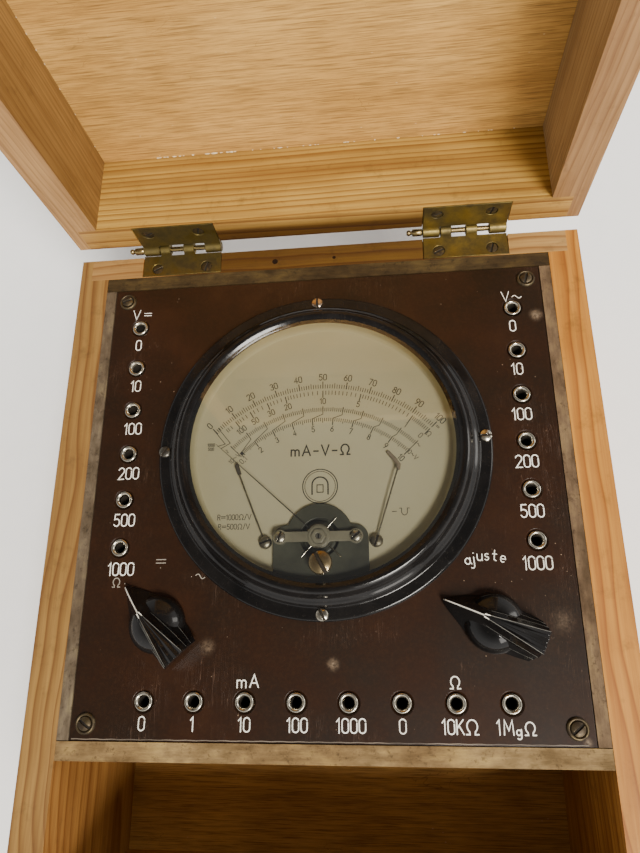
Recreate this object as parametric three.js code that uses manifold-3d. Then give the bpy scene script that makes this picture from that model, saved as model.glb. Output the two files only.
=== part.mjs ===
// Analog multimeter built into a hinged pine case, lid open.
// Millimetres, +Z up, +X to the right, +Y to the hinged back.
// The origin is the middle of the case's underside.

import * as THREE from "three";
import { ConvexGeometry } from "three/addons/geometries/ConvexGeometry.js";
import { mergeVertices } from "three/addons/utils/BufferGeometryUtils.js";
import Module from "manifold-3d";

const wasm = await Module();
wasm.setup();

// ---------------------------------------------------------------- dimensions

// Case
const CASE_WIDTH = 238.8;
const CASE_LENGTH = 288;
const RIM_Z = 92;
const BOTTOM_THICKNESS = 4;
const SIDE_THICKNESS = 14.2;
const END_THICKNESS = 11;
const RABBET_LIP = 5.5;

// Instrument panel, its rails and the board that closes off the lead compartment
const PANEL_WIDTH = 200;
const PANEL_LENGTH = 199.2;
const PANEL_THICKNESS = 4;
const PANEL_Y = CASE_LENGTH / 2 - 117.6;
const PANEL_Z = RIM_Z - 0.4;
const RAIL_TOP_Z = RIM_Z - 0.2;
const RAIL_HEIGHT = 22;
const LEDGE_WIDTH = 9;
const END_RAIL_WIDTH = 7;
const PANEL_GAP = 0.3;

// Sockets: two columns of six at the sides and a row of eight at the front
const SOCKET_COLUMN_X = 86.6;
const SOCKET_COLUMN_TOP = 79.2;
const SOCKET_COLUMN_PITCH = 20.8;
const SOCKETS_PER_COLUMN = 6;
const SOCKET_ROW_Y = -85.3;
const SOCKET_ROW_START = -70.9;
const SOCKET_ROW_PITCH = 20.3;
const SOCKETS_IN_ROW = 8;
const SOCKET_SEGMENTS = 10;
const SOCKET_HOLE_RADIUS = 3.25;
const COUNTERSINK_RADIUS = 4.5;
const COUNTERSINK_DEPTH = 1.25;

// Panel corner screws
const SCREW_X = 93.8;
const SCREW_Y = 93.5;
const SCREW_HOLE_RADIUS = 2.2;
const SCREW_SEGMENTS = 12;

// Meter, placed from the panel's middle
const METER_X = 0.5;
const METER_Y = 16.3;
const METER_HOLE_RADIUS = 61.6;
const METER_CAN_RADIUS = 61;
const METER_SEGMENTS = 48;
const PIVOT_X = -0.4;
const PIVOT_Y = -22.6;
const GLASS_RADIUS = 57.8;
const GLASS_Z = 8.2;
const GLASS_THICKNESS = 1.4;
const DIAL_RADIUS = 56.6;
const DIAL_Z = 0.1;
const DIAL_THICKNESS = 0.8;
const ZERO_SCREW_Y = -33.4;
const ZERO_SCREW_X = 0.6;

// Knobs, placed from the panel's middle
const KNOB_X = 66.9;
const KNOB_Y = -56.3;
const SELECTOR_ANGLE = 133.6;
const ADJUST_ANGLE = 155;
const SHAFT_RADIUS = 3;
const BUSHING_RADIUS = 4.6;
const SHAFT_SEGMENTS = 20;

// Lid
const LID_WALL = 14.6;
const LID_DEPTH = 39.3;
const LID_TOP_THICKNESS = 4;
const LID_GAP = 0.3;

// Hinges, measured from the left end of each leaf
const HINGE_LENGTH = 38.8;
const HINGE_STARTS = [-87.6, 48.8];
const HINGE_OFFSET = 4;
const HINGE_Y = CASE_LENGTH / 2 + HINGE_OFFSET;
const LEAF_THICKNESS = 1.5;
const CASE_LEAF_DEPTH = 10.4;
const LID_LEAF_DEPTH = 14;
const LEAF_GAP = 0.05;
const KNUCKLE_RADIUS = 2.7;
const KNUCKLE_BORE = 1.4;
const PIN_RADIUS = 1.25;
const PIN_HEAD_LENGTH = 7.6;
const LID_KNUCKLES = [[0, 8], [30.8, 38.8]];
const CASE_KNUCKLES = [[8.3, 13.4], [20, 25.4]];

// -------------------------------------------------------------------- colours

const PINE = { color: "#b98149", roughness: 0.55, metalness: 0 };
const PINE_LID = { color: "#c8924f", roughness: 0.55, metalness: 0 };
const PLYWOOD = { color: "#a67c50", roughness: 0.7, metalness: 0 };
const OLD_WOOD = { color: "#6d5942", roughness: 0.8, metalness: 0 };
const PAXOLIN = { color: "#331a12", roughness: 0.35, metalness: 0 };
const BLACK_BAKELITE = { color: "#0d0d0e", roughness: 0.2, metalness: 0 };
const NICKEL = { color: "#b9b6ac", roughness: 0.25, metalness: 1 };
const OLD_BRASS = { color: "#7d6a3c", roughness: 0.4, metalness: 1 };
const GREY_METAL = { color: "#4c534f", roughness: 0.55, metalness: 0.6 };
const DIAL_CREAM = { color: "#e3dabb", roughness: 0.6, metalness: 0 };
const CLEAR_GLASS = { color: "#eef2ee", roughness: 0.05, metalness: 0 };
const NEEDLE_BLACK = { color: "#1b1a17", roughness: 0.5, metalness: 0.3 };
const SWITCH_BROWN = { color: "#4a3527", roughness: 0.5, metalness: 0 };

// -------------------------------------------------------------------- helpers

const root = new THREE.Group();
const lid = new THREE.Group();
root.add(lid);

function addMesh(name, geometry, look, parent = root) {
  const mesh = new THREE.Mesh(geometry, new THREE.MeshStandardMaterial(look));
  mesh.name = name;
  parent.add(mesh);
  return mesh;
}

function toSolid(geometry) {
  const bare = geometry.clone();
  bare.deleteAttribute("normal");
  bare.deleteAttribute("uv");
  const merged = mergeVertices(bare, 1e-4);
  return new wasm.Manifold(new wasm.Mesh({
    numProp: 3,
    vertProperties: new Float32Array(merged.attributes.position.array),
    triVerts: new Uint32Array(merged.index.array),
  }));
}

function toGeometry(solid) {
  const data = solid.getMesh();
  const geometry = new THREE.BufferGeometry();
  geometry.setAttribute("position", new THREE.BufferAttribute(data.vertProperties, 3));
  geometry.setIndex(new THREE.BufferAttribute(data.triVerts, 1));
  geometry.computeVertexNormals();
  return geometry;
}

function joined(geometries) {
  return toGeometry(geometries.map(toSolid).reduce((sum, next) => sum.add(next)));
}

function cut(geometry, cutters) {
  return toGeometry(cutters.map(toSolid).reduce((rest, tool) => rest.subtract(tool), toSolid(geometry)));
}

function box([x0, x1], [y0, y1], [z0, z1]) {
  const geometry = new THREE.BoxGeometry(x1 - x0, y1 - y0, z1 - z0);
  return geometry.translate((x0 + x1) / 2, (y0 + y1) / 2, (z0 + z1) / 2);
}

// A turned piece about +Z from [radius, height] points that close on the axis or on themselves.
function turned(profile, segments) {
  const points = profile.map(([radius, height]) => new THREE.Vector2(radius, height));
  return new THREE.LatheGeometry(points, segments).rotateX(Math.PI / 2);
}

function rod(radius, z0, z1, segments) {
  return turned([[0, z0], [radius, z0], [radius, z1], [0, z1]], segments);
}

function rodAlongX(radius, x0, x1, segments) {
  return rod(radius, x0, x1, segments).rotateY(Math.PI / 2);
}

function plate(outline, z0, z1, bevel = 0) {
  const shape = new THREE.Shape(outline.map(([x, y]) => new THREE.Vector2(x, y)));
  const geometry = new THREE.ExtrudeGeometry(shape, {
    depth: z1 - z0 - 2 * bevel,
    bevelEnabled: bevel > 0,
    bevelThickness: bevel,
    bevelSize: bevel,
    bevelOffset: -bevel,
    bevelSegments: 1,
    curveSegments: 8,
  });
  return geometry.translate(0, 0, z0 + bevel);
}

// A convex block, the same on both sides of the XZ plane. Each row is [x, half width, z].
function convex(rows) {
  return new ConvexGeometry(rows.flatMap(([x, y, z]) => [
    new THREE.Vector3(x, y, z),
    new THREE.Vector3(x, -y, z),
  ]));
}

function tubeAlong(points, radius, steps, sides) {
  const ring = [];
  for (let i = 0; i < sides; i += 1) {
    const angle = (i / sides) * 2 * Math.PI;
    ring.push(new THREE.Vector2(radius * Math.cos(angle), radius * Math.sin(angle)));
  }
  const path = new THREE.CatmullRomCurve3(points.map((point) => new THREE.Vector3(...point)));
  return new THREE.ExtrudeGeometry(new THREE.Shape(ring), {
    extrudePath: path,
    steps,
    bevelEnabled: false,
  });
}

function placeOnPanel(mesh, x, y) {
  mesh.position.set(x, PANEL_Y + y, PANEL_Z);
  return mesh;
}

// ------------------------------------------------------------------ the case

const caseHalf = CASE_WIDTH / 2;
const endHalf = CASE_LENGTH / 2;
const innerHalf = caseHalf - SIDE_THICKNESS;
const lapHalf = caseHalf - RABBET_LIP;

addMesh("case_bottom", box([-caseHalf, caseHalf], [-endHalf, endHalf], [0, BOTTOM_THICKNESS]), PLYWOOD);

// A side board with a rabbet at each end that takes the end of a cross board.
function sideOutline(outer, inner, lap, low, high, rabbet) {
  return [
    [outer, low],
    [outer, high],
    [lap, high],
    [lap, high - rabbet],
    [inner, high - rabbet],
    [inner, low + rabbet],
    [lap, low + rabbet],
    [lap, low],
  ];
}

function mirrored(outline) {
  return outline.map(([x, y]) => [-x, y]).reverse();
}

const rightSide = sideOutline(caseHalf, innerHalf, lapHalf, -endHalf, endHalf, END_THICKNESS);
addMesh("case_side_right", plate(rightSide, BOTTOM_THICKNESS, RIM_Z), PINE);
addMesh("case_side_left", plate(mirrored(rightSide), BOTTOM_THICKNESS, RIM_Z), PINE);
addMesh(
  "case_front_board",
  box([-lapHalf, lapHalf], [-endHalf, -endHalf + END_THICKNESS], [BOTTOM_THICKNESS, RIM_Z]),
  PINE,
);

// The recess for a hinge leaf, cut from the face at y inwards by the leaf's depth.
function leafPocket(x, y, depth, z0, z1) {
  return box([x - 0.3, x + HINGE_LENGTH + 0.3], [y - depth - 0.3, y + 1], [z0, z1]);
}

const backBoard = box(
  [-lapHalf, lapHalf],
  [endHalf - END_THICKNESS, endHalf],
  [BOTTOM_THICKNESS, RIM_Z],
);
const casePockets = HINGE_STARTS.map((x) =>
  leafPocket(x, endHalf, CASE_LEAF_DEPTH, RIM_Z - LEAF_THICKNESS - 0.1, RIM_Z + 1));
addMesh("case_back_board", cut(backBoard, casePockets), PINE);

// -------------------------------------------- rails, divider board and panel

const panelHalf = PANEL_WIDTH / 2;
const panelBack = PANEL_Y + PANEL_LENGTH / 2;
const panelFront = PANEL_Y - PANEL_LENGTH / 2;
const underPanel = PANEL_Z - PANEL_THICKNESS;

// An L-shaped side rail: its upright edges the panel and its ledge carries it.
function sideRail(sign) {
  const outer = sign * innerHalf;
  const upright = sign * (panelHalf + PANEL_GAP);
  const ledge = sign * (panelHalf - LEDGE_WIDTH);
  const order = (a, b) => (a < b ? [a, b] : [b, a]);
  const depth = [panelFront, panelBack];
  const body = joined([
    box(order(outer, upright), depth, [RAIL_TOP_Z - RAIL_HEIGHT, RAIL_TOP_Z]),
    box(order(outer, ledge), depth, [RAIL_TOP_Z - RAIL_HEIGHT, underPanel]),
  ]);
  const pilots = [-SCREW_Y, SCREW_Y].map((y) =>
    rod(SCREW_HOLE_RADIUS, RAIL_TOP_Z - RAIL_HEIGHT + 2, underPanel + 1, SCREW_SEGMENTS)
      .translate(sign * SCREW_X, PANEL_Y + y, 0));
  return cut(body, pilots);
}

addMesh("rail_left", sideRail(-1), OLD_WOOD);
addMesh("rail_right", sideRail(1), OLD_WOOD);
addMesh(
  "rail_back",
  box(
    [-innerHalf, innerHalf],
    [panelBack + PANEL_GAP, endHalf - END_THICKNESS],
    [RAIL_TOP_Z - RAIL_HEIGHT, RAIL_TOP_Z],
  ),
  OLD_WOOD,
);
addMesh(
  "divider_board",
  box(
    [-innerHalf, innerHalf],
    [panelFront - PANEL_GAP - END_RAIL_WIDTH, panelFront - PANEL_GAP],
    [BOTTOM_THICKNESS, RAIL_TOP_Z],
  ),
  OLD_WOOD,
);

const sockets = [];
for (let i = 0; i < SOCKETS_PER_COLUMN; i += 1) {
  const y = SOCKET_COLUMN_TOP - i * SOCKET_COLUMN_PITCH;
  sockets.push([`socket_left_${i + 1}`, -SOCKET_COLUMN_X, y]);
  sockets.push([`socket_right_${i + 1}`, SOCKET_COLUMN_X, y]);
}
for (let i = 0; i < SOCKETS_IN_ROW; i += 1) {
  sockets.push([`socket_row_${i + 1}`, SOCKET_ROW_START + i * SOCKET_ROW_PITCH, SOCKET_ROW_Y]);
}

const countersink = [
  [0, -PANEL_THICKNESS - 1],
  [SOCKET_HOLE_RADIUS, -PANEL_THICKNESS - 1],
  [SOCKET_HOLE_RADIUS, -COUNTERSINK_DEPTH],
  [COUNTERSINK_RADIUS, 0],
  [COUNTERSINK_RADIUS, 1],
  [0, 1],
];
const corners = [
  ["back_left", -SCREW_X, SCREW_Y],
  ["back_right", SCREW_X, SCREW_Y],
  ["front_left", -SCREW_X, -SCREW_Y],
  ["front_right", SCREW_X, -SCREW_Y],
];
const knobPlaces = [-KNOB_X, KNOB_X];
const panelCutters = [
  ...sockets.map(([, x, y]) => turned(countersink, SOCKET_SEGMENTS).translate(x, y, 0)),
  ...corners.map(([, x, y]) =>
    rod(SCREW_HOLE_RADIUS, -PANEL_THICKNESS - 1, 1, SCREW_SEGMENTS).translate(x, y, 0)),
  ...knobPlaces.map((x) =>
    rod(BUSHING_RADIUS + PANEL_GAP, -PANEL_THICKNESS - 1, 1, SHAFT_SEGMENTS).translate(x, KNOB_Y, 0)),
  rod(METER_HOLE_RADIUS, -PANEL_THICKNESS - 1, 1, METER_SEGMENTS).translate(METER_X, METER_Y, 0),
];
const panelBlank = box(
  [-panelHalf, panelHalf],
  [-PANEL_LENGTH / 2, PANEL_LENGTH / 2],
  [-PANEL_THICKNESS, 0],
);
placeOnPanel(addMesh("panel", cut(panelBlank, panelCutters), PAXOLIN), 0, 0);

// A blind socket: a rounded ring seated in the countersink and a barrel through the panel.
const socketProfile = [
  [0, -18],
  [2.9, -18],
  [2.9, -0.35],
  [3.7, -0.35],
  [3.7, 0.2],
  [3.1, 0.55],
  [2.05, 0.05],
  [2.05, -15],
  [0, -15],
];
for (const [name, x, y] of sockets) {
  placeOnPanel(addMesh(name, turned(socketProfile, SOCKET_SEGMENTS), NICKEL), x, y);
}

// A slotted round-head screw seated in a dished cup washer.
const cornerScrew = cut(
  turned([
    [0, -15],
    [1.7, -14],
    [1.7, 0],
    [4.1, 0],
    [3.5, 1.1],
    [2.7, 0.9],
    [1.5, 2.1],
    [0, 2.3],
  ], SCREW_SEGMENTS),
  [box([-3, 3], [-0.3, 0.3], [1.3, 3])],
);
for (const [name, x, y] of corners) {
  placeOnPanel(addMesh(`panel_screw_${name}`, cornerScrew, OLD_BRASS), x, y);
}

// ------------------------------------------------------------------ the meter

const meterCase = turned([
  [0, -46],
  [METER_CAN_RADIUS, -46],
  [METER_CAN_RADIUS, 0],
  [72, 0],
  [72, 1.6],
  [71.2, 2.5],
  [66.8, 2.7],
  [66.2, 4.8],
  [64.4, 5.2],
  [63.7, 7.4],
  [61.8, 8],
  [60.8, 10],
  [58.9, 10],
  [58.1, GLASS_Z],
  [57.2, GLASS_Z],
  [57.2, 0],
  [54, 0],
  [54, -43],
  [0, -43],
], METER_SEGMENTS);
placeOnPanel(addMesh("meter_case", meterCase, BLACK_BAKELITE), METER_X, METER_Y);

const glass = cut(
  rod(GLASS_RADIUS, GLASS_Z, GLASS_Z + GLASS_THICKNESS, METER_SEGMENTS),
  [rod(2.3, 0, 20, SCREW_SEGMENTS).translate(ZERO_SCREW_X - METER_X, ZERO_SCREW_Y - METER_Y, 0)],
);
placeOnPanel(addMesh("meter_glass", glass, CLEAR_GLASS), METER_X, METER_Y);

const dialTop = DIAL_Z + DIAL_THICKNESS;
const MAGNET_NECK_RADIUS = 11.6;
const dialHole = rod(MAGNET_NECK_RADIUS + PANEL_GAP, -1, 2, SHAFT_SEGMENTS)
  .translate(PIVOT_X - METER_X, PIVOT_Y - METER_Y, 0);
const dial = cut(rod(DIAL_RADIUS, DIAL_Z, dialTop, METER_SEGMENTS), [dialHole]);
placeOnPanel(addMesh("dial_plate", dial, DIAL_CREAM), METER_X, METER_Y);

// The pole plate with an arched head covers the dial's hole. A neck joins it to the magnet
// block that stands on the meter's floor.
const POLE_PLATE_TOP = 3.2;
const poleOutline = [[-20, -45], [19.8, -45], [19.8, -19.5], [17.5, -16.8], [13.4, -16.4]];
for (let i = 1; i < 12; i += 1) {
  const angle = (i / 12) * Math.PI;
  poleOutline.push([-0.2 + 13.6 * Math.cos(angle), -22.4 + 14 * Math.sin(angle)]);
}
poleOutline.push([-13.8, -16.4], [-17.8, -16.8], [-20, -19.5]);
const polePlate = toGeometry(toSolid(plate(poleOutline, dialTop + 0.2, POLE_PLATE_TOP))
  .intersect(toSolid(rod(DIAL_RADIUS, 0, 10, METER_SEGMENTS).translate(METER_X, METER_Y, 0))));
const movement = joined([
  polePlate,
  rod(MAGNET_NECK_RADIUS, -1, dialTop + 0.4, SHAFT_SEGMENTS).translate(PIVOT_X, PIVOT_Y, 0),
  box([-15, 15.8], [-34.8, -9.8], [-43, -0.6]),
]);
placeOnPanel(addMesh("movement_magnet", movement, GREY_METAL), 0, 0);

const BRIDGE_POSTS = [-16.4, 14.6];
const bridge = joined([
  box(BRIDGE_POSTS, [PIVOT_Y - 2.2, PIVOT_Y + 2], [5.6, 6.8]),
  ...BRIDGE_POSTS.map((x) => rod(2.9, POLE_PLATE_TOP, 6.8, SCREW_SEGMENTS).translate(x, PIVOT_Y, 0)),
  rod(4.9, 5.6, 7.1, SHAFT_SEGMENTS).translate(PIVOT_X, PIVOT_Y, 0),
  rod(3, 7, 7.7, 6).translate(PIVOT_X, PIVOT_Y, 0),
]);
placeOnPanel(addMesh("movement_bridge", bridge, GREY_METAL), 0, 0);

// The coil hub, the long pointer that rests at zero and its short counterweight arms.
const POINTER_REST = 47.6;
const pointerRadians = THREE.MathUtils.degToRad(POINTER_REST);
const pointer = joined([
  rod(3.1, POLE_PLATE_TOP + 0.25, 5.2, SCREW_SEGMENTS),
  plate([[-0.75, 0], [0.75, 0], [0.16, 62], [-0.16, 62]], 3.9, 4.4),
  plate([[-0.5, 0], [-0.5, -12], [0.5, -12], [0.5, 0]], 3.9, 4.4),
  plate([[-10.5, -0.4], [10.5, -0.4], [10.5, 0.4], [-10.5, 0.4]], 3.9, 4.4),
]).rotateZ(pointerRadians);
placeOnPanel(addMesh("pointer", pointer, NEEDLE_BLACK), PIVOT_X, PIVOT_Y);

// A pointer stop: a screwed foot, a springy wire and the rubber sleeve on its tip.
function pointerStop(foot, tip) {
  const lean = [foot[0] * 0.5 + tip[0] * 0.5, foot[1] * 0.5 + tip[1] * 0.5];
  return joined([
    rod(2.6, dialTop + 0.05, 3, SCREW_SEGMENTS).translate(foot[0], foot[1], 0),
    tubeAlong([[foot[0], foot[1], 2.4], [lean[0], lean[1], 4.2], [tip[0], tip[1], 4.4]], 0.5, 5, 6),
    rod(1.1, 2.2, 5.8, 8).translate(tip[0], tip[1], 0),
  ]);
}
placeOnPanel(addMesh("pointer_stop_left", pointerStop([-23.2, -24], [-35.7, 7.4]), NEEDLE_BLACK), 0, 0);
placeOnPanel(addMesh("pointer_stop_right", pointerStop([22.8, -24], [33, 7.2]), NEEDLE_BLACK), 0, 0);

// The zero adjuster: a slotted brass head on the glass and a stub through it.
const zeroScrew = cut(
  turned([[0, GLASS_Z - 0.4], [2, GLASS_Z - 0.4], [2, 9.9], [4.7, 9.9], [4.7, 11], [4.1, 11.6], [0, 11.9]], 16),
  [box([-5, 5], [-0.55, 0.55], [10.8, 13]).rotateZ(THREE.MathUtils.degToRad(-62))],
);
placeOnPanel(addMesh("zero_adjust_screw", zeroScrew, OLD_BRASS), ZERO_SCREW_X, ZERO_SCREW_Y);

// ------------------------------------------------------------------ the knobs

// A pointer knob: domed skirt, a wedge-shaped nose along +X that rises to an apex in front of
// the axis, and a grip that widens from there to the tail. Each row is [x, half width, z].
const APEX = [5.6, 0.6, 14.2];
const knobNose = convex([[20.6, 0.9, 1], [20.6, 0.4, 4], [7, 8.6, 1], APEX, [0, 4, 3]]);
const knobGrip = convex([APEX, [7, 8.2, 1], [-18, 4.2, 15.8], [-15.6, 7.8, 3.6], [-10, 9.2, 1.2]]);
const knobSkirt = [[0, 0.5], [11.5, 0.5], [11.5, 1.9], [10.6, 4.4], [8.5, 7.6], [4, 9.6], [0, 10]];
const knobBody = cut(
  joined([turned(knobSkirt, METER_SEGMENTS), knobNose, knobGrip]),
  [rod(SHAFT_RADIUS + 0.3, -1, 8.6, SHAFT_SEGMENTS)],
);
const shaft = rod(SHAFT_RADIUS, -24, 8.3, SHAFT_SEGMENTS);

function addControl(name, wafer, x, angle, bodyProfile) {
  const turn = THREE.MathUtils.degToRad(angle);
  placeOnPanel(addMesh(`${name}_knob`, knobBody, BLACK_BAKELITE), x, KNOB_Y).rotation.z = turn;
  placeOnPanel(addMesh(`${name}_shaft`, shaft, NICKEL), x, KNOB_Y);
  placeOnPanel(addMesh(wafer, turned(bodyProfile, SHAFT_SEGMENTS), SWITCH_BROWN), x, KNOB_Y);
}

// The fixed body under the panel, bored for its shaft, with its bushing through the panel.
function controlBody(radius, depth) {
  const bore = SHAFT_RADIUS + 0.1;
  return [
    [bore, -PANEL_THICKNESS - depth],
    [radius, -PANEL_THICKNESS - depth],
    [radius, -PANEL_THICKNESS],
    [BUSHING_RADIUS, -PANEL_THICKNESS],
    [BUSHING_RADIUS, -0.2],
    [bore, -0.2],
    [bore, -PANEL_THICKNESS - depth],
  ];
}

addControl("selector", "selector_switch", -KNOB_X, SELECTOR_ANGLE, controlBody(17, 16));
addControl("adjust", "adjust_rheostat", KNOB_X, ADJUST_ANGLE, controlBody(14, 11));

// -------------------------------------------------- the lid, built standing open

// Lid pieces are drawn as on a closed case, with the hinge axis at the group's origin.
// The group is then turned back by a right angle.
const lidBack = -HINGE_OFFSET;
const lidFront = lidBack - CASE_LENGTH;
const lidInner = caseHalf - LID_WALL;
const lidLap = caseHalf - RABBET_LIP;
const lidRim = LID_GAP;
const lidTop = LID_GAP + LID_DEPTH;

const lidSide = sideOutline(caseHalf, lidInner, lidLap, lidFront, lidBack, LID_WALL);
addMesh("lid_side_right", plate(lidSide, lidRim, lidTop), PINE_LID, lid);
addMesh("lid_side_left", plate(mirrored(lidSide), lidRim, lidTop), PINE_LID, lid);
addMesh(
  "lid_front_board",
  box([-lidLap, lidLap], [lidFront, lidFront + LID_WALL], [lidRim, lidTop]),
  PINE_LID,
  lid,
);
const lidPockets = HINGE_STARTS.map((x) =>
  leafPocket(x, lidBack, LID_LEAF_DEPTH, LID_GAP - 1, LEAF_THICKNESS + 0.1));
addMesh(
  "lid_back_board",
  cut(box([-lidLap, lidLap], [lidBack - LID_WALL, lidBack], [lidRim, lidTop]), lidPockets),
  PINE_LID,
  lid,
);
addMesh(
  "lid_top_panel",
  box([-caseHalf, caseHalf], [lidFront, lidBack], [lidTop, lidTop + LID_TOP_THICKNESS]),
  PLYWOOD,
  lid,
);
lid.position.set(0, HINGE_Y, RIM_Z);
lid.rotation.x = -Math.PI / 2;

// ----------------------------------------------------------------- the hinges

// A hinge leaf drawn about the hinge axis, below it for the case and above it for the lid.
function hingeLeaf(x, knuckles, depth, side) {
  const flat = side < 0 ? [-LEAF_THICKNESS, -LEAF_GAP] : [LEAF_GAP, LEAF_THICKNESS];
  const inner = lidBack - depth;
  const pieces = [box([x, x + HINGE_LENGTH], [inner, -KNUCKLE_RADIUS - 0.7], flat)];
  for (const [from, to] of knuckles) {
    pieces.push(box([x + from, x + to], [inner, -0.5], flat));
    pieces.push(rodAlongX(KNUCKLE_RADIUS, x + from, x + to, SCREW_SEGMENTS));
  }
  const bore = rodAlongX(KNUCKLE_BORE, x - 1, x + HINGE_LENGTH + 1, SCREW_SEGMENTS);
  return cut(joined(pieces), [bore]);
}

// A loose pin whose turned head with a ball end stands out to the left.
function hingePin(x) {
  const head = -PIN_HEAD_LENGTH;
  return turned([
    [0, head],
    [0.9, head + 0.3],
    [1.4, head + 1.2],
    [0.9, head + 2.1],
    [0.9, head + 2.5],
    [1.7, head + 2.9],
    [1.7, -0.3],
    [PIN_RADIUS, -0.3],
    [PIN_RADIUS, HINGE_LENGTH],
    [0, HINGE_LENGTH + 0.3],
  ], SCREW_SEGMENTS).rotateY(Math.PI / 2).translate(x, 0, 0);
}

const hingeNames = ["left", "right"];
HINGE_STARTS.forEach((x, i) => {
  const name = hingeNames[i];
  const onCase = hingeLeaf(x, CASE_KNUCKLES, CASE_LEAF_DEPTH, -1);
  const onLid = hingeLeaf(x, LID_KNUCKLES, LID_LEAF_DEPTH, 1);
  addMesh(`hinge_case_leaf_${name}`, onCase, OLD_BRASS).position.set(0, HINGE_Y, RIM_Z);
  addMesh(`hinge_lid_leaf_${name}`, onLid, OLD_BRASS, lid);
  addMesh(`hinge_pin_${name}`, hingePin(x), OLD_BRASS).position.set(0, HINGE_Y, RIM_Z);
});

export default root;
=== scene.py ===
"""Analog multimeter in an open pine case: the finished look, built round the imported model.

Sizes are in millimetres and are turned into metres where a mesh is made.
"""
import math
import random

import bmesh
import bpy
from mathutils import Matrix, Vector, noise


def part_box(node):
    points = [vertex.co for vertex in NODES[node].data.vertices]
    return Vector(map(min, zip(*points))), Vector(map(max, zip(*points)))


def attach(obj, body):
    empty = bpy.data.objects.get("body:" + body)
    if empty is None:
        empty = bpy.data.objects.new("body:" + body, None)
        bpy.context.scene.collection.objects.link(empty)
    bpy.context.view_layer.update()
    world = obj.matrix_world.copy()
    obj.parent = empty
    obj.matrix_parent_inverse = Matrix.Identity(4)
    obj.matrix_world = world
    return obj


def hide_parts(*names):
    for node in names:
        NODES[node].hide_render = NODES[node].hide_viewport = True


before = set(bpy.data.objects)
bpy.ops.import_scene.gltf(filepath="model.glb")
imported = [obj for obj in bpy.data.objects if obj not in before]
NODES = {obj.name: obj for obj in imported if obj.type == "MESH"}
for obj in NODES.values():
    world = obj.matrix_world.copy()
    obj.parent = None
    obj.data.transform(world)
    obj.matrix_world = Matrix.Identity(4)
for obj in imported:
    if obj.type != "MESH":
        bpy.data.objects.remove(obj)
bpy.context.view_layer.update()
MM = 0.001

panel_low, panel_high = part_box("panel")
PANEL = Vector(((panel_low.x + panel_high.x) / 2, (panel_low.y + panel_high.y) / 2, panel_high.z))
RIM_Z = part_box("case_side_left")[1].z
HINGE_OFFSET = 4.0
HINGE_AXIS = Vector((0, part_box("case_back_board")[1].y + HINGE_OFFSET * MM, RIM_Z))
HINGE_SPAN = 0.066

METER = (0.5, 16.3)
PIVOT = (-0.4, -22.6)
DIAL_CENTRE = (0.7, -21.7)
DIAL_TOP = 0.9
POINTER_REST = 47.6
KNOB_X = 66.9
KNOB_Y = -56.3
KNOBS = {"selector": (-KNOB_X, 133.6), "adjust": (KNOB_X, 155.0)}
KNOB_BODIES = {"selector": "selector", "adjust": "adjuster"}
SOCKET_HOLE = 4.45
SCREW_X = 93.8
SCREW_Y = 93.5
SCREW_HOLE = 2.2
SHAFT_HOLE = 4.9
METER_CUTOUT = 61.6
PANEL_THICKNESS = 4.0


# ---- shader helpers

def colour(value):
    """Linear colour from '#rrggbb', a grey level or three linear numbers."""
    if isinstance(value, str):
        parts = [int(value[i:i + 2], 16) / 255 for i in (1, 3, 5)]
        return tuple(((p + 0.055) / 1.055) ** 2.4 if p > 0.04045 else p / 12.92 for p in parts)
    return (value,) * 3 if isinstance(value, (int, float)) else tuple(value[:3])


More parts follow.
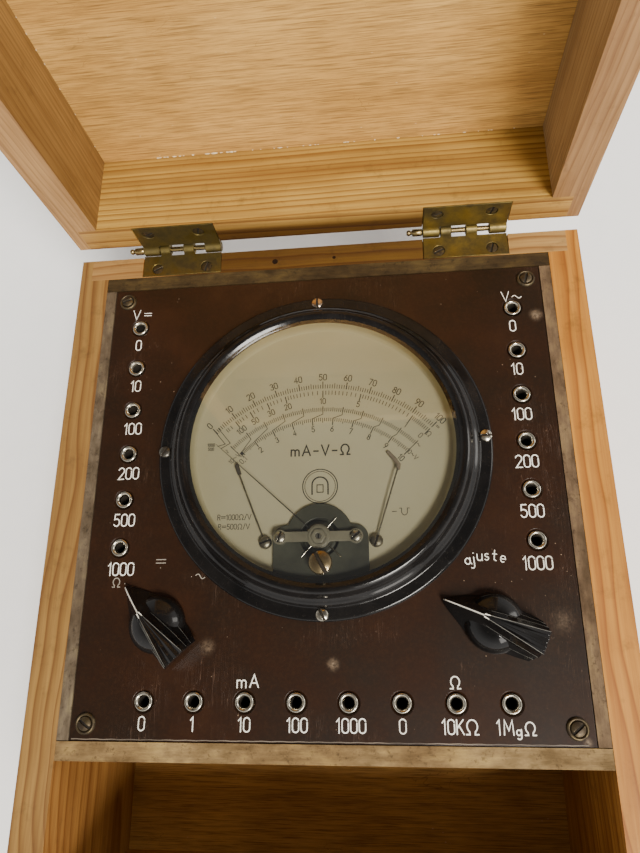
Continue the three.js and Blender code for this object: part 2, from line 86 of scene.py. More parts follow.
class Shader:
    """The nodes of a material or world. Each call adds a node and gives back its main output."""

    def __init__(self, name, library=bpy.data.materials):
        self.owner = library.new(name)
        self.owner.use_nodes = True
        self.tree = self.owner.node_tree
        self.source = self.tree.nodes.new("ShaderNodeTexCoord").outputs
        self.place = self.source["Object"]

    def add(self, kind, inputs=None, **settings):
        node = self.tree.nodes.new(kind)
        for key, value in settings.items():
            setattr(node, key, value)
        for key, value in (inputs or {}).items():
            self.feed(node.inputs[key], value)
        return node

    def feed(self, socket, value):
        if isinstance(value, bpy.types.NodeSocket):
            self.tree.links.new(value, socket)
        else:
            socket.default_value = (*colour(value), 1.0) if socket.type == "RGBA" else value

    def axes(self, vector):
        return self.add("ShaderNodeSeparateXYZ", {0: vector}).outputs

    def board(self, along):
        """Object coordinates reordered so that the first one runs along the grain."""
        axes, first = self.axes(self.place), "XYZ".index(along)
        return self.add("ShaderNodeCombineXYZ", {i: axes[(first + i) % 3] for i in range(3)}).outputs[0]

    def measure(self, operation, a, b=(0, 0, 0)):
        return self.add("ShaderNodeVectorMath", {0: a, 1: b}, operation=operation).outputs["Value"]

    def scaled(self, vector, scale, shift):
        """A vector and scale for a texture; a scale of three numbers is applied to the vector."""
        if not isinstance(scale, tuple):
            return vector, scale
        inputs = {0: vector, 1: scale, 2: shift}
        return self.add("ShaderNodeVectorMath", inputs, operation="MULTIPLY_ADD").outputs[0], 1.0

    def noise(self, vector, scale, detail=3.0, roughness=0.5, distortion=0.0, shift=(0, 0, 0)):
        vector, scale = self.scaled(vector, scale, shift)
        return self.add("ShaderNodeTexNoise", {
            "Vector": vector, "Scale": scale, "Detail": detail, "Roughness": roughness,
            "Distortion": distortion,
        }).outputs["Fac"]

    def cells(self, vector, scale):
        vector, scale = self.scaled(vector, scale, (0, 0, 0))
        return self.add("ShaderNodeTexVoronoi", {"Vector": vector, "Scale": scale}).outputs["Distance"]

    def math(self, operation, a, b=0.0, c=0.0):
        return self.add("ShaderNodeMath", {0: a, 1: b, 2: c}, operation=operation).outputs[0]

    def times(self, a, b):
        return self.math("MULTIPLY", a, b)

    def line(self, value, width):
        """One along the curve where a noise is at its middle value, and nothing past the width."""
        return self.range(self.math("ABSOLUTE", self.math("SUBTRACT", value, 0.5)), 0.0, width, 1.0, 0.0)

    def ramp(self, factor, *stops):
        """A colour ramp; each stop is (place, colour or grey level)."""
        node = self.add("ShaderNodeValToRGB", {"Fac": factor})
        elements = node.color_ramp.elements
        while len(elements) < len(stops):
            elements.new(0.5)
        for element, (place, value) in zip(elements, stops):
            element.position = place
            element.color = (*colour(value), 1.0)
        return node.outputs["Color"]

    def mix(self, factor, a, b, blend="MIX"):
        inputs = {0: factor, 6: a, 7: b}
        return self.add("ShaderNodeMix", inputs, data_type="RGBA", blend_type=blend).outputs[2]

    def range(self, value, low, high, to_low=0.0, to_high=1.0):
        return self.add("ShaderNodeMapRange", {
            "Value": value, "From Min": low, "From Max": high, "To Min": to_low, "To Max": to_high,
        }).outputs[0]

    def tint(self, base, added, value, low, high, amount=1.0, blend="MIX"):
        """Mixes a colour into the base as a value goes from low to high."""
        return self.mix(self.range(value, low, high, 0.0, amount), base, added, blend)

    def dirt(self, base, vector, scale, low, dark, high, detail=3.0, roughness=0.5):
        """Darkens the base in broad patches, where a slow noise is low."""
        patches = self.noise(vector, scale, detail, roughness)
        return self.mix(1.0, base, self.ramp(patches, (low, dark), (high, 1.0)), "MULTIPLY")

    def bump(self, height, distance, strength):
        inputs = {"Height": height, "Distance": distance, "Strength": strength}
        return self.add("ShaderNodeBump", inputs).outputs[0]

    def finish(self, **inputs):
        """Sets the surface's sockets; names use underscores for spaces."""
        for key, value in inputs.items():
            self.feed(self.tree.nodes["Principled BSDF"].inputs[key.replace("_", " ")], value)
        return self.owner


# ---- materials

def pine(name, along, light, dark, ring, heart, seed, rim, wander=0.030, shadow_band=None, depth=0.84):
    """Pine board. Its growth rings circle a heart line given across the board in millimetres.

    depth is how dark their late wood is, from 0 to 1. rim is the direction the board's rim faces
    and the colour that multiplies it there. shadow_band is the height of the rim and the colour of
    a painted shadow on it between the hinges.
    """
    s = Shader(name)
    board = s.board(along)
    axes = s.axes(board)
    wobbles = (s.noise(board, (4.0, 7.0, 7.0), 3.0, 0.55, shift=(seed, 0, 0)),
               s.noise(board, (3.0, 7.0, 7.0), 2.0, 0.5, shift=(seed, 5, 9)))
    squares = []
    for wobble, axis, middle in zip(wobbles, axes[1:], heart):
        across = s.math("MULTIPLY_ADD", wobble, wander, axis)
        across = s.math("SUBTRACT", across, wander / 2 + middle * MM)
        squares.append(s.times(across, across))
    radius = s.math("SQRT", s.math("ADD", *squares))
    uneven = s.noise(s.add("ShaderNodeCombineXYZ", {0: radius}).outputs[0], 150.0, 1.0)
    growth = s.math("FRACT", s.math("MULTIPLY_ADD", uneven, 1.6, s.math("DIVIDE", radius, ring * MM)))
    bands = s.ramp(growth, (0.0, 0.0), (0.45, 0.10), (0.74, 0.55), (0.88, 1.0), (0.96, 0.15))
    fibres = s.noise(board, (22, 800, 800), 4.0, 0.6)
    streaks = s.noise(board, (5, 150, 150), 3.0, 0.6, shift=(seed, 1, 3))
    hue = s.noise(board, (7, 30, 30), shift=(seed, 3, 1))
    grain = s.mix(s.times(bands, depth), s.tint(light, dark, hue, 0.36, 0.66, 0.30), dark)
    grain = s.tint(grain, dark, fibres, 0.42, 0.72, 0.45)
    grain = s.tint(grain, dark, streaks, 0.46, 0.74, 0.55)
    coloured = s.dirt(grain, board, 16.0, 0.30, (0.80, 0.76, 0.70), 0.62, 4.0, 0.6)
    coloured = s.tint(coloured, "#4b3219", s.noise(board, 90.0, 5.0, 0.75), 0.56, 0.74, 0.4)
    facing = s.measure("DOT_PRODUCT", s.source["Normal"], rim[0])
    coloured = s.tint(coloured, rim[1], facing, 0.4, 0.8, 1.0, "MULTIPLY")
    # Painted shadow: darkens the board between the hinges, below a height over the rim.
    if shadow_band:
        x, _, z = s.axes(s.place)
        middle = s.range(s.math("ABSOLUTE", x), HINGE_SPAN, HINGE_SPAN + 0.020, 1.0, 0.0)
        low = s.range(z, RIM_Z + shadow_band[0], RIM_Z + shadow_band[0] + 0.006, 1.0, 0.0)
        coloured = s.mix(s.times(middle, low), coloured, shadow_band[1], "MULTIPLY")
    height = s.math("MULTIPLY_ADD", bands, -0.35, s.times(fibres, 0.6))
    return s.finish(Base_Color=coloured, Roughness=s.range(fibres, 0.3, 0.75, 0.46, 0.64),
                    Normal=s.bump(height, 0.00016, 0.6), Specular_IOR_Level=0.3)


def plywood():
    """Rotary-cut veneer: faint wide bands, short pores along the grain, pale specks, hair cracks."""
    s = Shader("plywood_veneer")
    sheet = s.board("X")
    bands = s.noise(sheet, (2.0, 26, 26), 4.0, 0.6, 0.5)
    fine = s.noise(sheet, (44, 900, 900), 5.0, 0.75)
    pores = s.noise(sheet, (60, 1700, 1700), 2.0, shift=(3, 1, 2))
    base = s.ramp(bands, (0.30, "#ad8140"), (0.52, "#c5964e"), (0.72, "#d2a55a"))
    base = s.tint(base, "#855f31", fine, 0.43, 0.62, 0.56)
    base = s.tint(base, "#5f4120", pores, 0.53, 0.66, 0.50)
    specks = s.range(s.cells(sheet, (150, 260, 260)), 0.0, 0.09, 1.0, 0.0)
    specks = s.times(specks, s.range(s.noise(sheet, 45.0), 0.52, 0.60))
    base = s.mix(s.times(specks, 0.6), base, "#e2cba2")
    crack = s.line(s.noise(sheet, (30, 90, 90), 2.0, 0.5, 1.5, (1, 7, 2)), 0.005)
    dents = s.times(crack, s.range(s.noise(sheet, 26.0, 2.0), 0.60, 0.66))
    base = s.mix(s.times(dents, 0.55), base, "#5c4022")
    base = s.dirt(base, sheet, 11.0, 0.35, (0.76, 0.71, 0.64), 0.62, 4.0, 0.6)
    return s.finish(Base_Color=base, Roughness=0.68, Specular_IOR_Level=0.25,
                    Normal=s.bump(s.math("ADD", fine, pores), 0.00014, 0.6))


def old_wood(name, along, tone_and_shadow):
    """Grey-brown weathered strip wood with dark pores; tone_and_shadow multiplies its colour: the strip's own
    tone, and on the back rail a painted shadow too.
    """
    s = Shader(name)
    strip = s.board(along)
    fibres = s.noise(strip, (60, 700, 700), 4.0, 0.65)
    mottled = s.noise(strip, (90, 170, 170), 4.0, 0.62)
    base = s.ramp(mottled, (0.34, "#67543f"), (0.52, "#86705a"), (0.68, "#a28a68"))
    base = s.tint(base, "#564330", fibres, 0.46, 0.74, 0.40)
    base = s.tint(base, "#3d2e20", s.noise(strip, 420.0, 3.0, 0.7), 0.57, 0.70, 0.55)
    base = s.dirt(base, strip, 24.0, 0.35, (0.74, 0.69, 0.64), 0.65)
    base = s.mix(1.0, base, tone_and_shadow, "MULTIPLY")
    height = s.math("ADD", fibres, s.times(mottled, 0.5))
    return s.finish(Base_Color=base, Roughness=0.8, Specular_IOR_Level=0.2,
                    Normal=s.bump(height, 0.0003, 0.8))


# Pale rubbed places on the panel: x, y, reach and strength.
SCUFFS = [(4.5, -71.5, 3.5, 0.6), (-46, -65, 4.5, 0.35), (96.5, 75, 4, 0.8), (93, -56, 7, 0.2),
          (97, -98, 2.5, 0.6)]


def laminate():
    """Maroon-brown laminate: faint fibre mottling, hair scratches, dust specks, soft sheen."""
    s = Shader("maroon_laminate")
    cloud = s.noise(s.place, 26.0, 5.0, 0.6)
    fine = s.noise(s.place, 900.0, 3.0, 0.6)
    base = s.ramp(cloud, (0.32, "#1b1108"), (0.55, "#25150b"), (0.74, "#301c10"))
    base = s.tint(base, "#3e2816", fine, 0.45, 0.75, 0.22)
    warp = s.noise(s.place, 18.0, 2.0)
    scratches = 0.0
    for turn, scale in ((18, 70), (-41, 55), (77, 85)):
        lines = s.add("ShaderNodeMapping", {
            "Vector": s.place, "Scale": (scale * 9, scale * 0.5, 1), "Location": (turn * 0.37, 0, 0),
            "Rotation": (0, 0, math.radians(turn)),
        }).outputs[0]
        lines = s.add("ShaderNodeVectorMath", {0: lines, 1: warp}, operation="ADD").outputs[0]
        scratches = s.math("MAXIMUM", scratches, s.line(s.noise(lines, 1.0, 1.0), 0.0035))
    faded = s.times(scratches, s.range(s.noise(s.place, 38.0), 0.52, 0.66))
    specks = s.times(s.range(s.cells(s.place, 260.0), 0.03, 0.07, 1.0, 0.0),
                     s.range(s.noise(s.place, 60.0, 2.0), 0.55, 0.62))
    worn = s.mix(s.times(faded, 0.30), base, "#8a6a52")
    worn = s.mix(s.times(specks, 0.60), worn, "#b39c80")
    patchy = s.range(fine, 0.25, 0.70)
    for x, y, reach, strength in SCUFFS:
        away = s.measure("DISTANCE", s.place, tuple(on_panel(x, y)))
        near = s.range(away, 0.0, reach * MM, 1.0, 0.0)
        worn = s.mix(s.times(s.times(near, s.times(near, strength)), patchy), worn, "#b79f83")
    rough = s.math("ADD", s.range(cloud, 0.3, 0.7, 0.40, 0.30), s.times(faded, 0.25))
    height = s.math("SUBTRACT", s.times(fine, 0.4), faded)
    return s.finish(Base_Color=worn, Roughness=rough, Normal=s.bump(height, 0.00004, 0.5),
                    Specular_IOR_Level=0.24)


def bakelite():
    """Black moulded Bakelite: glossy, faintly brown, with dust in fine pits and rub marks."""
    s = Shader("black_bakelite")
    cloud = s.noise(s.place, 70.0, 4.0, 0.6)
    rub = s.range(s.noise(s.place, (90, 700, 90)), 0.58, 0.72)
    base = s.ramp(cloud, (0.35, (0.0045, 0.0042, 0.0042)), (0.70, (0.009, 0.008, 0.0075)))
    base = s.tint(base, "#6b6256", s.noise(s.place, 800.0, 3.0, 0.7), 0.60, 0.74, 0.08)
    rough = s.math("ADD", s.range(cloud, 0.3, 0.7, 0.08, 0.16), s.times(rub, 0.12))
    return s.finish(Base_Color=base, Roughness=rough, Specular_IOR_Level=0.27,
                    Normal=s.bump(cloud, 0.00004, 0.3))


def metal(name, bright, dull, rough, patina, scale=260.0):
    """Metal with a tarnish that clouds over it; dull may be dark, for old brass."""
    s = Shader(name)
    cover = s.range(s.noise(s.place, scale, 5.0, 0.65), *patina)
    fine = s.noise(s.place, 2400.0, 3.0, 0.6)
    base = s.tint(s.mix(cover, bright, dull), dull, fine, 0.5, 0.8, 0.3)
    return s.finish(Base_Color=base, Metallic=s.range(cover, 0.0, 1.0, 1.0, 0.75),
                    Roughness=s.range(cover, 0.0, 1.0, *rough), Normal=s.bump(fine, 0.00003, 0.4))


def enamel(name, light, dark, rough=0.5, grit=700.0, gloss=0.5):
    """Paint or lacquer with a fine grit and soft cloudy dirt."""
    s = Shader(name)
    fine = s.noise(s.place, grit, 3.0, 0.6)
    base = s.tint(light, dark, s.noise(s.place, 60.0, 4.0, 0.6), 0.35, 0.70)
    base = s.tint(base, dark, fine, 0.45, 0.8, 0.3)
    return s.finish(Base_Color=base, Roughness=s.range(fine, 0.3, 0.7, rough - 0.06, rough + 0.10),
                    Normal=s.bump(fine, 0.00004, 0.4), Specular_IOR_Level=gloss)


def dial_paint():
    """Cream dial card, yellowed towards its edge, with faint foxing."""
    s = Shader("dial_cream")
    away = s.measure("DISTANCE", s.place, tuple(on_panel(*METER)))
    cloud = s.noise(s.place, 45.0, 4.0, 0.6)
    base = s.tint("#b8b194", "#b0a888", away, 0.030, 0.060)
    base = s.tint(base, "#aca17f", cloud, 0.4, 0.75, 0.35)
    base = s.tint(base, "#9c8555", s.noise(s.place, 500.0, 4.0, 0.7), 0.60, 0.78, 0.25)
    return s.finish(Base_Color=base, Roughness=0.55, Normal=s.bump(cloud, 0.00002, 0.2))


def window_glass():
    """Thin flat glass: clear straight on, with a reflection that grows at a slant."""
    s = Shader("window_glass")
    haze = s.noise(s.place, 30.0, 4.0, 0.6)
    clear = s.add("ShaderNodeBsdfTransparent", {"Color": (0.97, 0.98, 0.96)}).outputs[0]
    gloss = s.add("ShaderNodeBsdfAnisotropic", {
        "Color": 1.0, "Roughness": s.range(haze, 0.3, 0.7, 0.02, 0.07),
    }).outputs[0]
    slant = s.add("ShaderNodeFresnel", {"IOR": 1.5}).outputs[0]
    share = s.math("MULTIPLY_ADD", slant, 2.7, s.range(haze, 0.4, 0.8, 0.0, 0.015))
    mixed = s.add("ShaderNodeMixShader", {0: share, 1: clear, 2: gloss}).outputs[0]
    s.feed(s.tree.nodes["Material Output"].inputs["Surface"], mixed)
    return s.finish(Alpha=0.1)


# ---- mesh helpers

def shift(x, y, z=0.0):
    return Matrix.Translation(Vector((x, y, z)) * MM)


def on_panel(x, y, z=0.0):
    return PANEL + Vector((x, y, z)) * MM


def panel_shift(x=0.0, y=0.0, z=0.0):
    return Matrix.Translation(on_panel(x, y, z))


def to_mesh(bm, name):
    bmesh.ops.recalc_face_normals(bm, faces=bm.faces)
    mesh = bpy.data.meshes.new(name)
    bm.to_mesh(mesh)
    bm.free()
    return mesh


def add_to_scene(name, data):
    obj = bpy.data.objects.new(name, data)
    bpy.context.scene.collection.objects.link(obj)
    return obj


def finish_piece(name, shape, material, slot, body="instrument", replaced=(), at=Matrix(), sharp=38.0):
    """Makes the object from a mesh or a bmesh, shades it, and ties it to its body and CAD nodes."""
    mesh = to_mesh(shape, name) if isinstance(shape, bmesh.types.BMesh) else shape
    mesh.transform(at)
    for m in material if isinstance(material, (list, tuple)) else [material]:
        mesh.materials.append(m)
    mesh.shade_smooth()
    mesh.set_sharp_from_angle(angle=math.radians(sharp))
    obj = add_to_scene(name, mesh)
    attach(obj, body)
    if replaced:
        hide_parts(*replaced)
    return obj


def round_edges(obj, name, width, angle):
    rounding = obj.modifiers.new(name, "BEVEL")
    rounding.width = width * MM
    rounding.segments = 3
    rounding.limit_method = "ANGLE"
    rounding.angle_limit = math.radians(angle)
    return rounding


def soften(points, size, steps=3):
    """Rounds the inner corners of a 2D line by cutting them back and curving across."""
    out = [points[0]]
    for p, q, r in zip(map(Vector, points), map(Vector, points[1:]), map(Vector, points[2:])):
        start = q + (p - q).normalized() * min(size, (p - q).length * 0.45)
        end = q + (r - q).normalized() * min(size, (r - q).length * 0.45)
        for i in range(steps + 1):
            t = i / steps
            out.append(tuple(start * (1 - t) ** 2 + q * 2 * t * (1 - t) + end * t ** 2))
    return out + [points[-1]]


def lathe(bm, profile, segments=48, matrix=Matrix(), material=0):
    """Adds a turned shape about +Z; profile is (radius, height) in millimetres."""
    rings = []
    for radius, height in profile:
        turn = [2 * math.pi * k / segments for k in range(segments if radius > 1e-6 else 1)]
        points = [Vector((radius * math.cos(a), radius * math.sin(a), height)) * MM for a in turn]
        rings.append([bm.verts.new(matrix @ point) for point in points])
    for low, high in zip(rings, rings[1:]):
        for k in range(segments):
            after = (k + 1) % segments
            corners = [low[k % len(low)], low[after % len(low)],
                       high[after % len(high)], high[k % len(high)]]
            distinct = list(dict.fromkeys(corners))
            if len(distinct) > 2:
                bm.faces.new(distinct).material_index = material


def add_turned(mesh, *parts):
    """Adds turned shapes to a mesh; each part is (profile, segments, place)."""
    bm = bmesh.new()
    bm.from_mesh(mesh)
    for part in parts:
        lathe(bm, *part)
    bm.to_mesh(mesh)
    bm.free()
    return mesh


def block(bm, low, high, bevel):
    """Adds a box between two corners in millimetres, with its edges rounded by bevel."""
    made = bmesh.ops.create_cube(bm, size=1.0)["verts"]
    low, high = Vector(low) * MM, Vector(high) * MM
    for v in made:
        v.co = Vector([low[i] + (v.co[i] + 0.5) * (high[i] - low[i]) for i in range(3)])
    edges = {e for v in made for e in v.link_edges}
    bmesh.ops.bevel(bm, geom=list(edges), offset=bevel * MM, segments=2, affect="EDGES")


def plate_mesh(name, outlines, z0, z1, bevel=0.2):
    """A flat plate with rounded edges; the first outline is its edge, the rest are holes."""
    data = bpy.data.curves.new(name, "CURVE")
    data.dimensions = "2D"
    data.fill_mode = "BOTH"
    data.extrude = ((z1 - z0) / 2 - bevel) * MM
    data.bevel_depth = bevel * MM
    data.bevel_resolution = 2
    data.offset = -bevel * MM
    for i, outline in enumerate(outlines):
        area = sum(x0 * y1 - x1 * y0 for (x0, y0), (x1, y1) in zip(outline, outline[1:] + outline[:1]))
        spline = data.splines.new("POLY")
        spline.points.add(len(outline) - 1)
        for p, (x, y) in zip(spline.points, outline if (area > 0) == (i == 0) else outline[::-1]):
            p.co = (x * MM, y * MM, 0, 1)
        spline.use_cyclic_u = True
    holder = add_to_scene(name + ".curve", data)
    graph = bpy.context.evaluated_depsgraph_get()
    mesh = bpy.data.meshes.new_from_object(holder.evaluated_get(graph))
    bpy.data.objects.remove(holder)
    bpy.data.curves.remove(data)
    mesh.transform(shift(0, 0, (z0 + z1) / 2))
    mesh.name = name
    return mesh


def circle(x, y, radius, count=48):
    turn = [2 * math.pi * k / count for k in range(count)]
    return [(x + radius * math.cos(a), y + radius * math.sin(a)) for a in turn]


def bow(cx, cy, rx, ry, start, end, steps=9):
    turn = [math.radians(start + (end - start) * i / steps) for i in range(steps + 1)]
    return [(cx + rx * math.cos(a), cy + ry * math.sin(a)) for a in turn]


def tube(bm, points, radii, sides=8, material=0):
    """Adds a tube through 3D points in millimetres; radii is one number for all, or one for each."""
    points = [Vector(p) for p in points]
    radii = radii if isinstance(radii, list) else [radii] * len(points)
    rings = []
    for i, p in enumerate(points):
        along = (points[min(i + 1, len(points) - 1)] - points[max(i - 1, 0)]).normalized()
        side = along.cross(Vector((0, 0, 1)))
        side = side.normalized() if side.length > 1e-4 else Vector((1, 0, 0))
        over = side.cross(along).normalized()
        turn = [2 * math.pi * k / sides for k in range(sides)]
        rings.append([bm.verts.new((p + (side * math.cos(a) + over * math.sin(a)) * radii[i]) * MM)
                      for a in turn])
    for low, high in zip(rings, rings[1:]):
        for k in range(sides):
            after = (k + 1) % sides
            bm.faces.new([low[k], low[after], high[after], high[k]]).material_index = material
    for end in (rings[0], rings[-1]):
        bm.faces.new(end).material_index = material


def stripe(bm, places):
    """Adds a flat strip; each place is its middle point and half its width, in millimetres."""
    rows = [[bm.verts.new(Vector((x, y + w, z)) * MM) for w in (-half, half)]
            for (x, y, z), half in places]
    for a, b in zip(rows, rows[1:]):
        bm.faces.new([a[0], a[1], b[1], b[0]])


# ---- lettering

def curve(*numbers):
    """An arc as a flat list, for the strokes of the letters."""
    return [value for point in bow(*numbers) for value in point]


# Each letter: its width and its strokes (x, y, x, y ...), in hundredths of a capital's height.
LETTERS = {
    "0": (48, [curve(24, 76, 24, 24, 0, 180) + curve(24, 24, 24, 24, 180, 360) + [48, 76]]),
    "1": (24, [[0, 78, 18, 100, 18, 0]]),
    "2": (48, [curve(24, 74, 24, 26, 165, -35) + [0, 0, 48, 0]]),
    "3": (48, [curve(22, 76, 22, 24, 150, -80) + curve(22, 27, 25, 27, 80, -150)]),
    "4": (50, [[36, 0, 36, 100, 0, 28, 50, 28]]),
    "5": (48, [[44, 100, 7, 100, 4, 56] + curve(22, 31, 25, 31, 110, -150)]),
    "6": (48, [[38, 100, 10, 56] + curve(24, 28, 24, 28, 150, 510, 16)]),
    "7": (46, [[0, 100, 46, 100, 14, 0]]),
    "8": (48, [curve(24, 76, 20, 24, -90, 270, 14), curve(24, 27, 24, 27, 90, 450, 14)]),
    "9": (48, [[10, 0, 38, 44] + curve(24, 72, 24, 28, -30, 330, 16)]),
    "V": (70, [[0, 100, 35, 0, 70, 100]]),
    "A": (74, [[0, 0, 37, 100, 74, 0], [13, 34, 61, 34]]),
    "K": (50, [[0, 0, 0, 100], [48, 100, 0, 40], [16, 60, 50, 0]]),
    "M": (68, [[0, 0, 6, 100, 34, 30, 62, 100, 68, 0]]),
    "R": (50, [[0, 0, 0, 100, 24, 100] + curve(25, 76, 21, 24, 80, -80) + [0, 52], [22, 52, 50, 0]]),
    "m": (76, [[0, 0, 0, 60], curve(19, 41, 19, 19, 180, 0) + [38, 0],
               curve(57, 41, 19, 19, 180, 0) + [76, 0]]),
    "g": (42, [curve(20, 24, 20, 22, 10, 370, 12), [42, 50, 42, -12] + curve(22, -12, 20, 18, 0, -140)]),
    "a": (50, [curve(22, 25, 22, 25, 20, 380, 12), [43, 52, 42, 10, 52, 0]]),
    "j": (24, [[24, 52, 24, -18] + curve(8, -18, 16, 20, 0, -130), [24, 84, 25, 85]]),
    "u": (42, [[0, 52, 0, 20] + curve(19, 20, 19, 20, 180, 350), [40, 52, 40, 0]]),
    "s": (34, [curve(18, 39, 15, 13, 50, 250) + curve(16, 13, 16, 14, 80, -140)]),
    "t": (32, [[14, 86, 14, 12, 30, 2], [0, 56, 32, 56]]),
    "e": (40, [[4, 26, 40, 26] + curve(21, 26, 20, 26, 0, 300, 12)]),
    "Ω": (90, [[0, 0, 26, 0] + curve(45, 56, 38, 44, 236, -56, 18) + [64, 0, 90, 0]]),
    "=": (80, [[0, 66, 80, 66], [0, 38, 80, 38]]),
    "~": (80, [[n for i in range(11) for n in (8 * i, 50 + 15 * math.sin(2 * math.pi * i / 10))]]),
    "-": (42, [[0, 42, 42, 42]]),
    "/": (36, [[0, -5, 36, 105]]),
    ".": (4, [[0, 0, 2, 2]]),
    ",": (6, [[5, 6, 0, -16]]),
}


def lettering(text, height, centre, turn=0.0, gap=20):
    """Strokes of a line of text centred on a point, turned clockwise by turn degrees."""
    size = height / 100
    at = (gap - sum(LETTERS[c][0] + gap for c in text)) / 2
    cos, sin = math.cos(math.radians(turn)), math.sin(math.radians(turn))
    strokes = []
    for c in text:
        for stroke in LETTERS[c][1]:
            local = [((x + at) * size, (y - 50) * size) for x, y in zip(stroke[::2], stroke[1::2])]
            strokes.append([(centre[0] + u * cos + v * sin, centre[1] - u * sin + v * cos)
                            for u, v in local])
        at += LETTERS[c][0] + gap
    return strokes


def ribbon(bm, points, width, z):
    """Adds one flat printed stroke with round ends at height z above the panel."""
    half = width / 2
    pts = [Vector(p) for i, p in enumerate(points)
           if i == 0 or (Vector(p) - Vector(points[i - 1])).length > 1e-5]
    if len(pts) < 2:
        return

    def vert(p):
        return bm.verts.new(on_panel(p.x, p.y, z))

    runs = [(b - a).normalized() for a, b in zip(pts, pts[1:])]
    rows = []
    for p, before, after in zip(pts, runs[:1] + runs, runs + runs[-1:]):
        along = (before + after).normalized()
        miter = max(0.45, math.sqrt(max(0.0, (1 + before.dot(after)) / 2)))
        across = Vector((-along.y, along.x)) * half / miter
        rows.append((vert(p + across), vert(p - across)))
    for (a, b), (c, d) in zip(rows, rows[1:]):
        bm.faces.new((a, b, d, c))
    for middle, out, (first, last) in ((pts[0], -runs[0], rows[0][::-1]), (pts[-1], runs[-1], rows[-1])):
        across = Vector((-out.y, out.x))
        turn = [math.pi * k / 6 for k in range(1, 6)]
        arc = [vert(middle + (across * math.cos(a) + out * math.sin(a)) * half) for a in turn]
        bm.faces.new([first, *arc, last])


# Strokes that cross lie this far apart, so that no two faces share a plane.
LAYER = 0.005


def printed(name, strokes, width, z, material, slot):
    """One object of flat strokes; each entry is a stroke, or (stroke, width)."""
    bm = bmesh.new()
    for i, entry in enumerate(strokes):
        line, w = entry if isinstance(entry, tuple) else (entry, width)
        ribbon(bm, line, w, z + LAYER * (i % 6))
    bm.normal_update()
    for f in bm.faces:
        if f.normal.z < 0:
            f.normal_flip()
    mesh = bpy.data.meshes.new(name)
    bm.to_mesh(mesh)
    bm.free()
    finish_piece(name, mesh, material, slot)


# ---- all materials

MAT_LAMINATE = laminate()
MAT_BAKELITE = bakelite()
MAT_NICKEL = metal("worn_nickel", "#b9b3a4", "#6c6557", (0.18, 0.38), (0.48, 0.70))
MAT_BRASS_DARK = metal("dark_brass", "#84733f", "#4c4127", (0.34, 0.5), (0.35, 0.64), 90.0)
MAT_BRASS = metal("pin_brass", "#8f7b50", "#4d3f28", (0.24, 0.42), (0.45, 0.70))
MAT_BRASS_DULL = metal("dull_screw_brass", "#6f6248", "#3a3024", (0.36, 0.52), (0.34, 0.60))
MAT_ZERO = metal("zero_screw_brass", "#857658", "#483d2c", (0.26, 0.40), (0.40, 0.66))
MAT_COPPER = metal("coppery_brass", "#c6b29b", "#826c56", (0.22, 0.42), (0.5, 0.72))
MAT_STEEL_DARK = metal("dark_steel", "#6d6a62", "#2b2824", (0.3, 0.5), (0.35, 0.6))
MAT_STOP = metal("grey_steel", "#8d8776", "#57503f", (0.26, 0.45), (0.4, 0.65))
# Near-black grime and painted shade, for the insides of screw slots and socket bores.
MAT_GRIME_AND_SHADE = enamel("slot_grime_and_shade", (0.012, 0.010, 0.008), (0.030, 0.024, 0.017), 0.85, gloss=0.15)
MAT_RUST = enamel("rusty_nail", (0.022, 0.010, 0.005), (0.010, 0.006, 0.004), 0.9, 1500.0, 0.05)
MAT_PLATE = enamel("grey_green_lacquer", (0.078, 0.080, 0.055), (0.030, 0.031, 0.022), 0.36)
MAT_BRIDGE = enamel("grey_bridge_lacquer", (0.23, 0.21, 0.145), (0.13, 0.12, 0.08), 0.38)
MAT_DIAL = dial_paint()
MAT_INK = enamel("dial_ink", (0.012, 0.011, 0.009), (0.026, 0.023, 0.018), 0.6, 2500.0)
MAT_FILL = enamel("engraving_fill", (0.90, 0.88, 0.80), (0.72, 0.68, 0.58), 0.6, 1800.0)
MAT_WORN_FILL = enamel("worn_engraving_fill", (0.30, 0.27, 0.22), (0.16, 0.14, 0.11), 0.7, 900.0)
MAT_GLASS = window_glass()
MAT_NEEDLE = enamel("needle_black", (0.012, 0.011, 0.010), (0.035, 0.032, 0.028), 0.45, 2500.0)
MAT_RUBBER = enamel("dark_sleeve", (0.030, 0.026, 0.020), (0.075, 0.060, 0.042), 0.7, 1500.0)
MAT_PALE_RUBBER = enamel("pale_sleeve", (0.26, 0.21, 0.15), (0.13, 0.10, 0.07), 0.7, 1500.0)
# Painted highlights on the knobs' ridge crests.
MAT_RIDGE_HIGHLIGHT = enamel("painted_ridge_highlight", (0.17, 0.165, 0.145), (0.02, 0.02, 0.018), 0.35, 240.0)
# Pale laminate edge: wear, and a painted highlight on the bevel.
MAT_EDGE_WEAR_AND_HIGHLIGHT = enamel("laminate_edge_wear_and_highlight", (0.19, 0.15, 0.11), (0.04, 0.028, 0.018), 0.6, 160.0)
MAT_PHENOLIC = enamel("brown_phenolic", (0.085, 0.045, 0.024), (0.045, 0.024, 0.014), 0.45)
MAT_GLUE = enamel("dried_glue", (0.66, 0.54, 0.34), (0.48, 0.35, 0.18), 0.45, 900.0)
MAT_PLYWOOD = plywood()


# ---- boards: CAD solids with worn edges

LEFT_PINE = ("#a5773c", "#6c3f19")
RIGHT_PINE = ("#c18c46", "#814a1c")
LID_PINE = ("#bb974a", "#754b19")
LID_LEFT_PINE = ("#967340", "#5c3c1a")
LID_RIGHT_PINE = ("#ae9468", "#785836")
UP, FRONT = (0, 0, 1), (0, -1, 0)

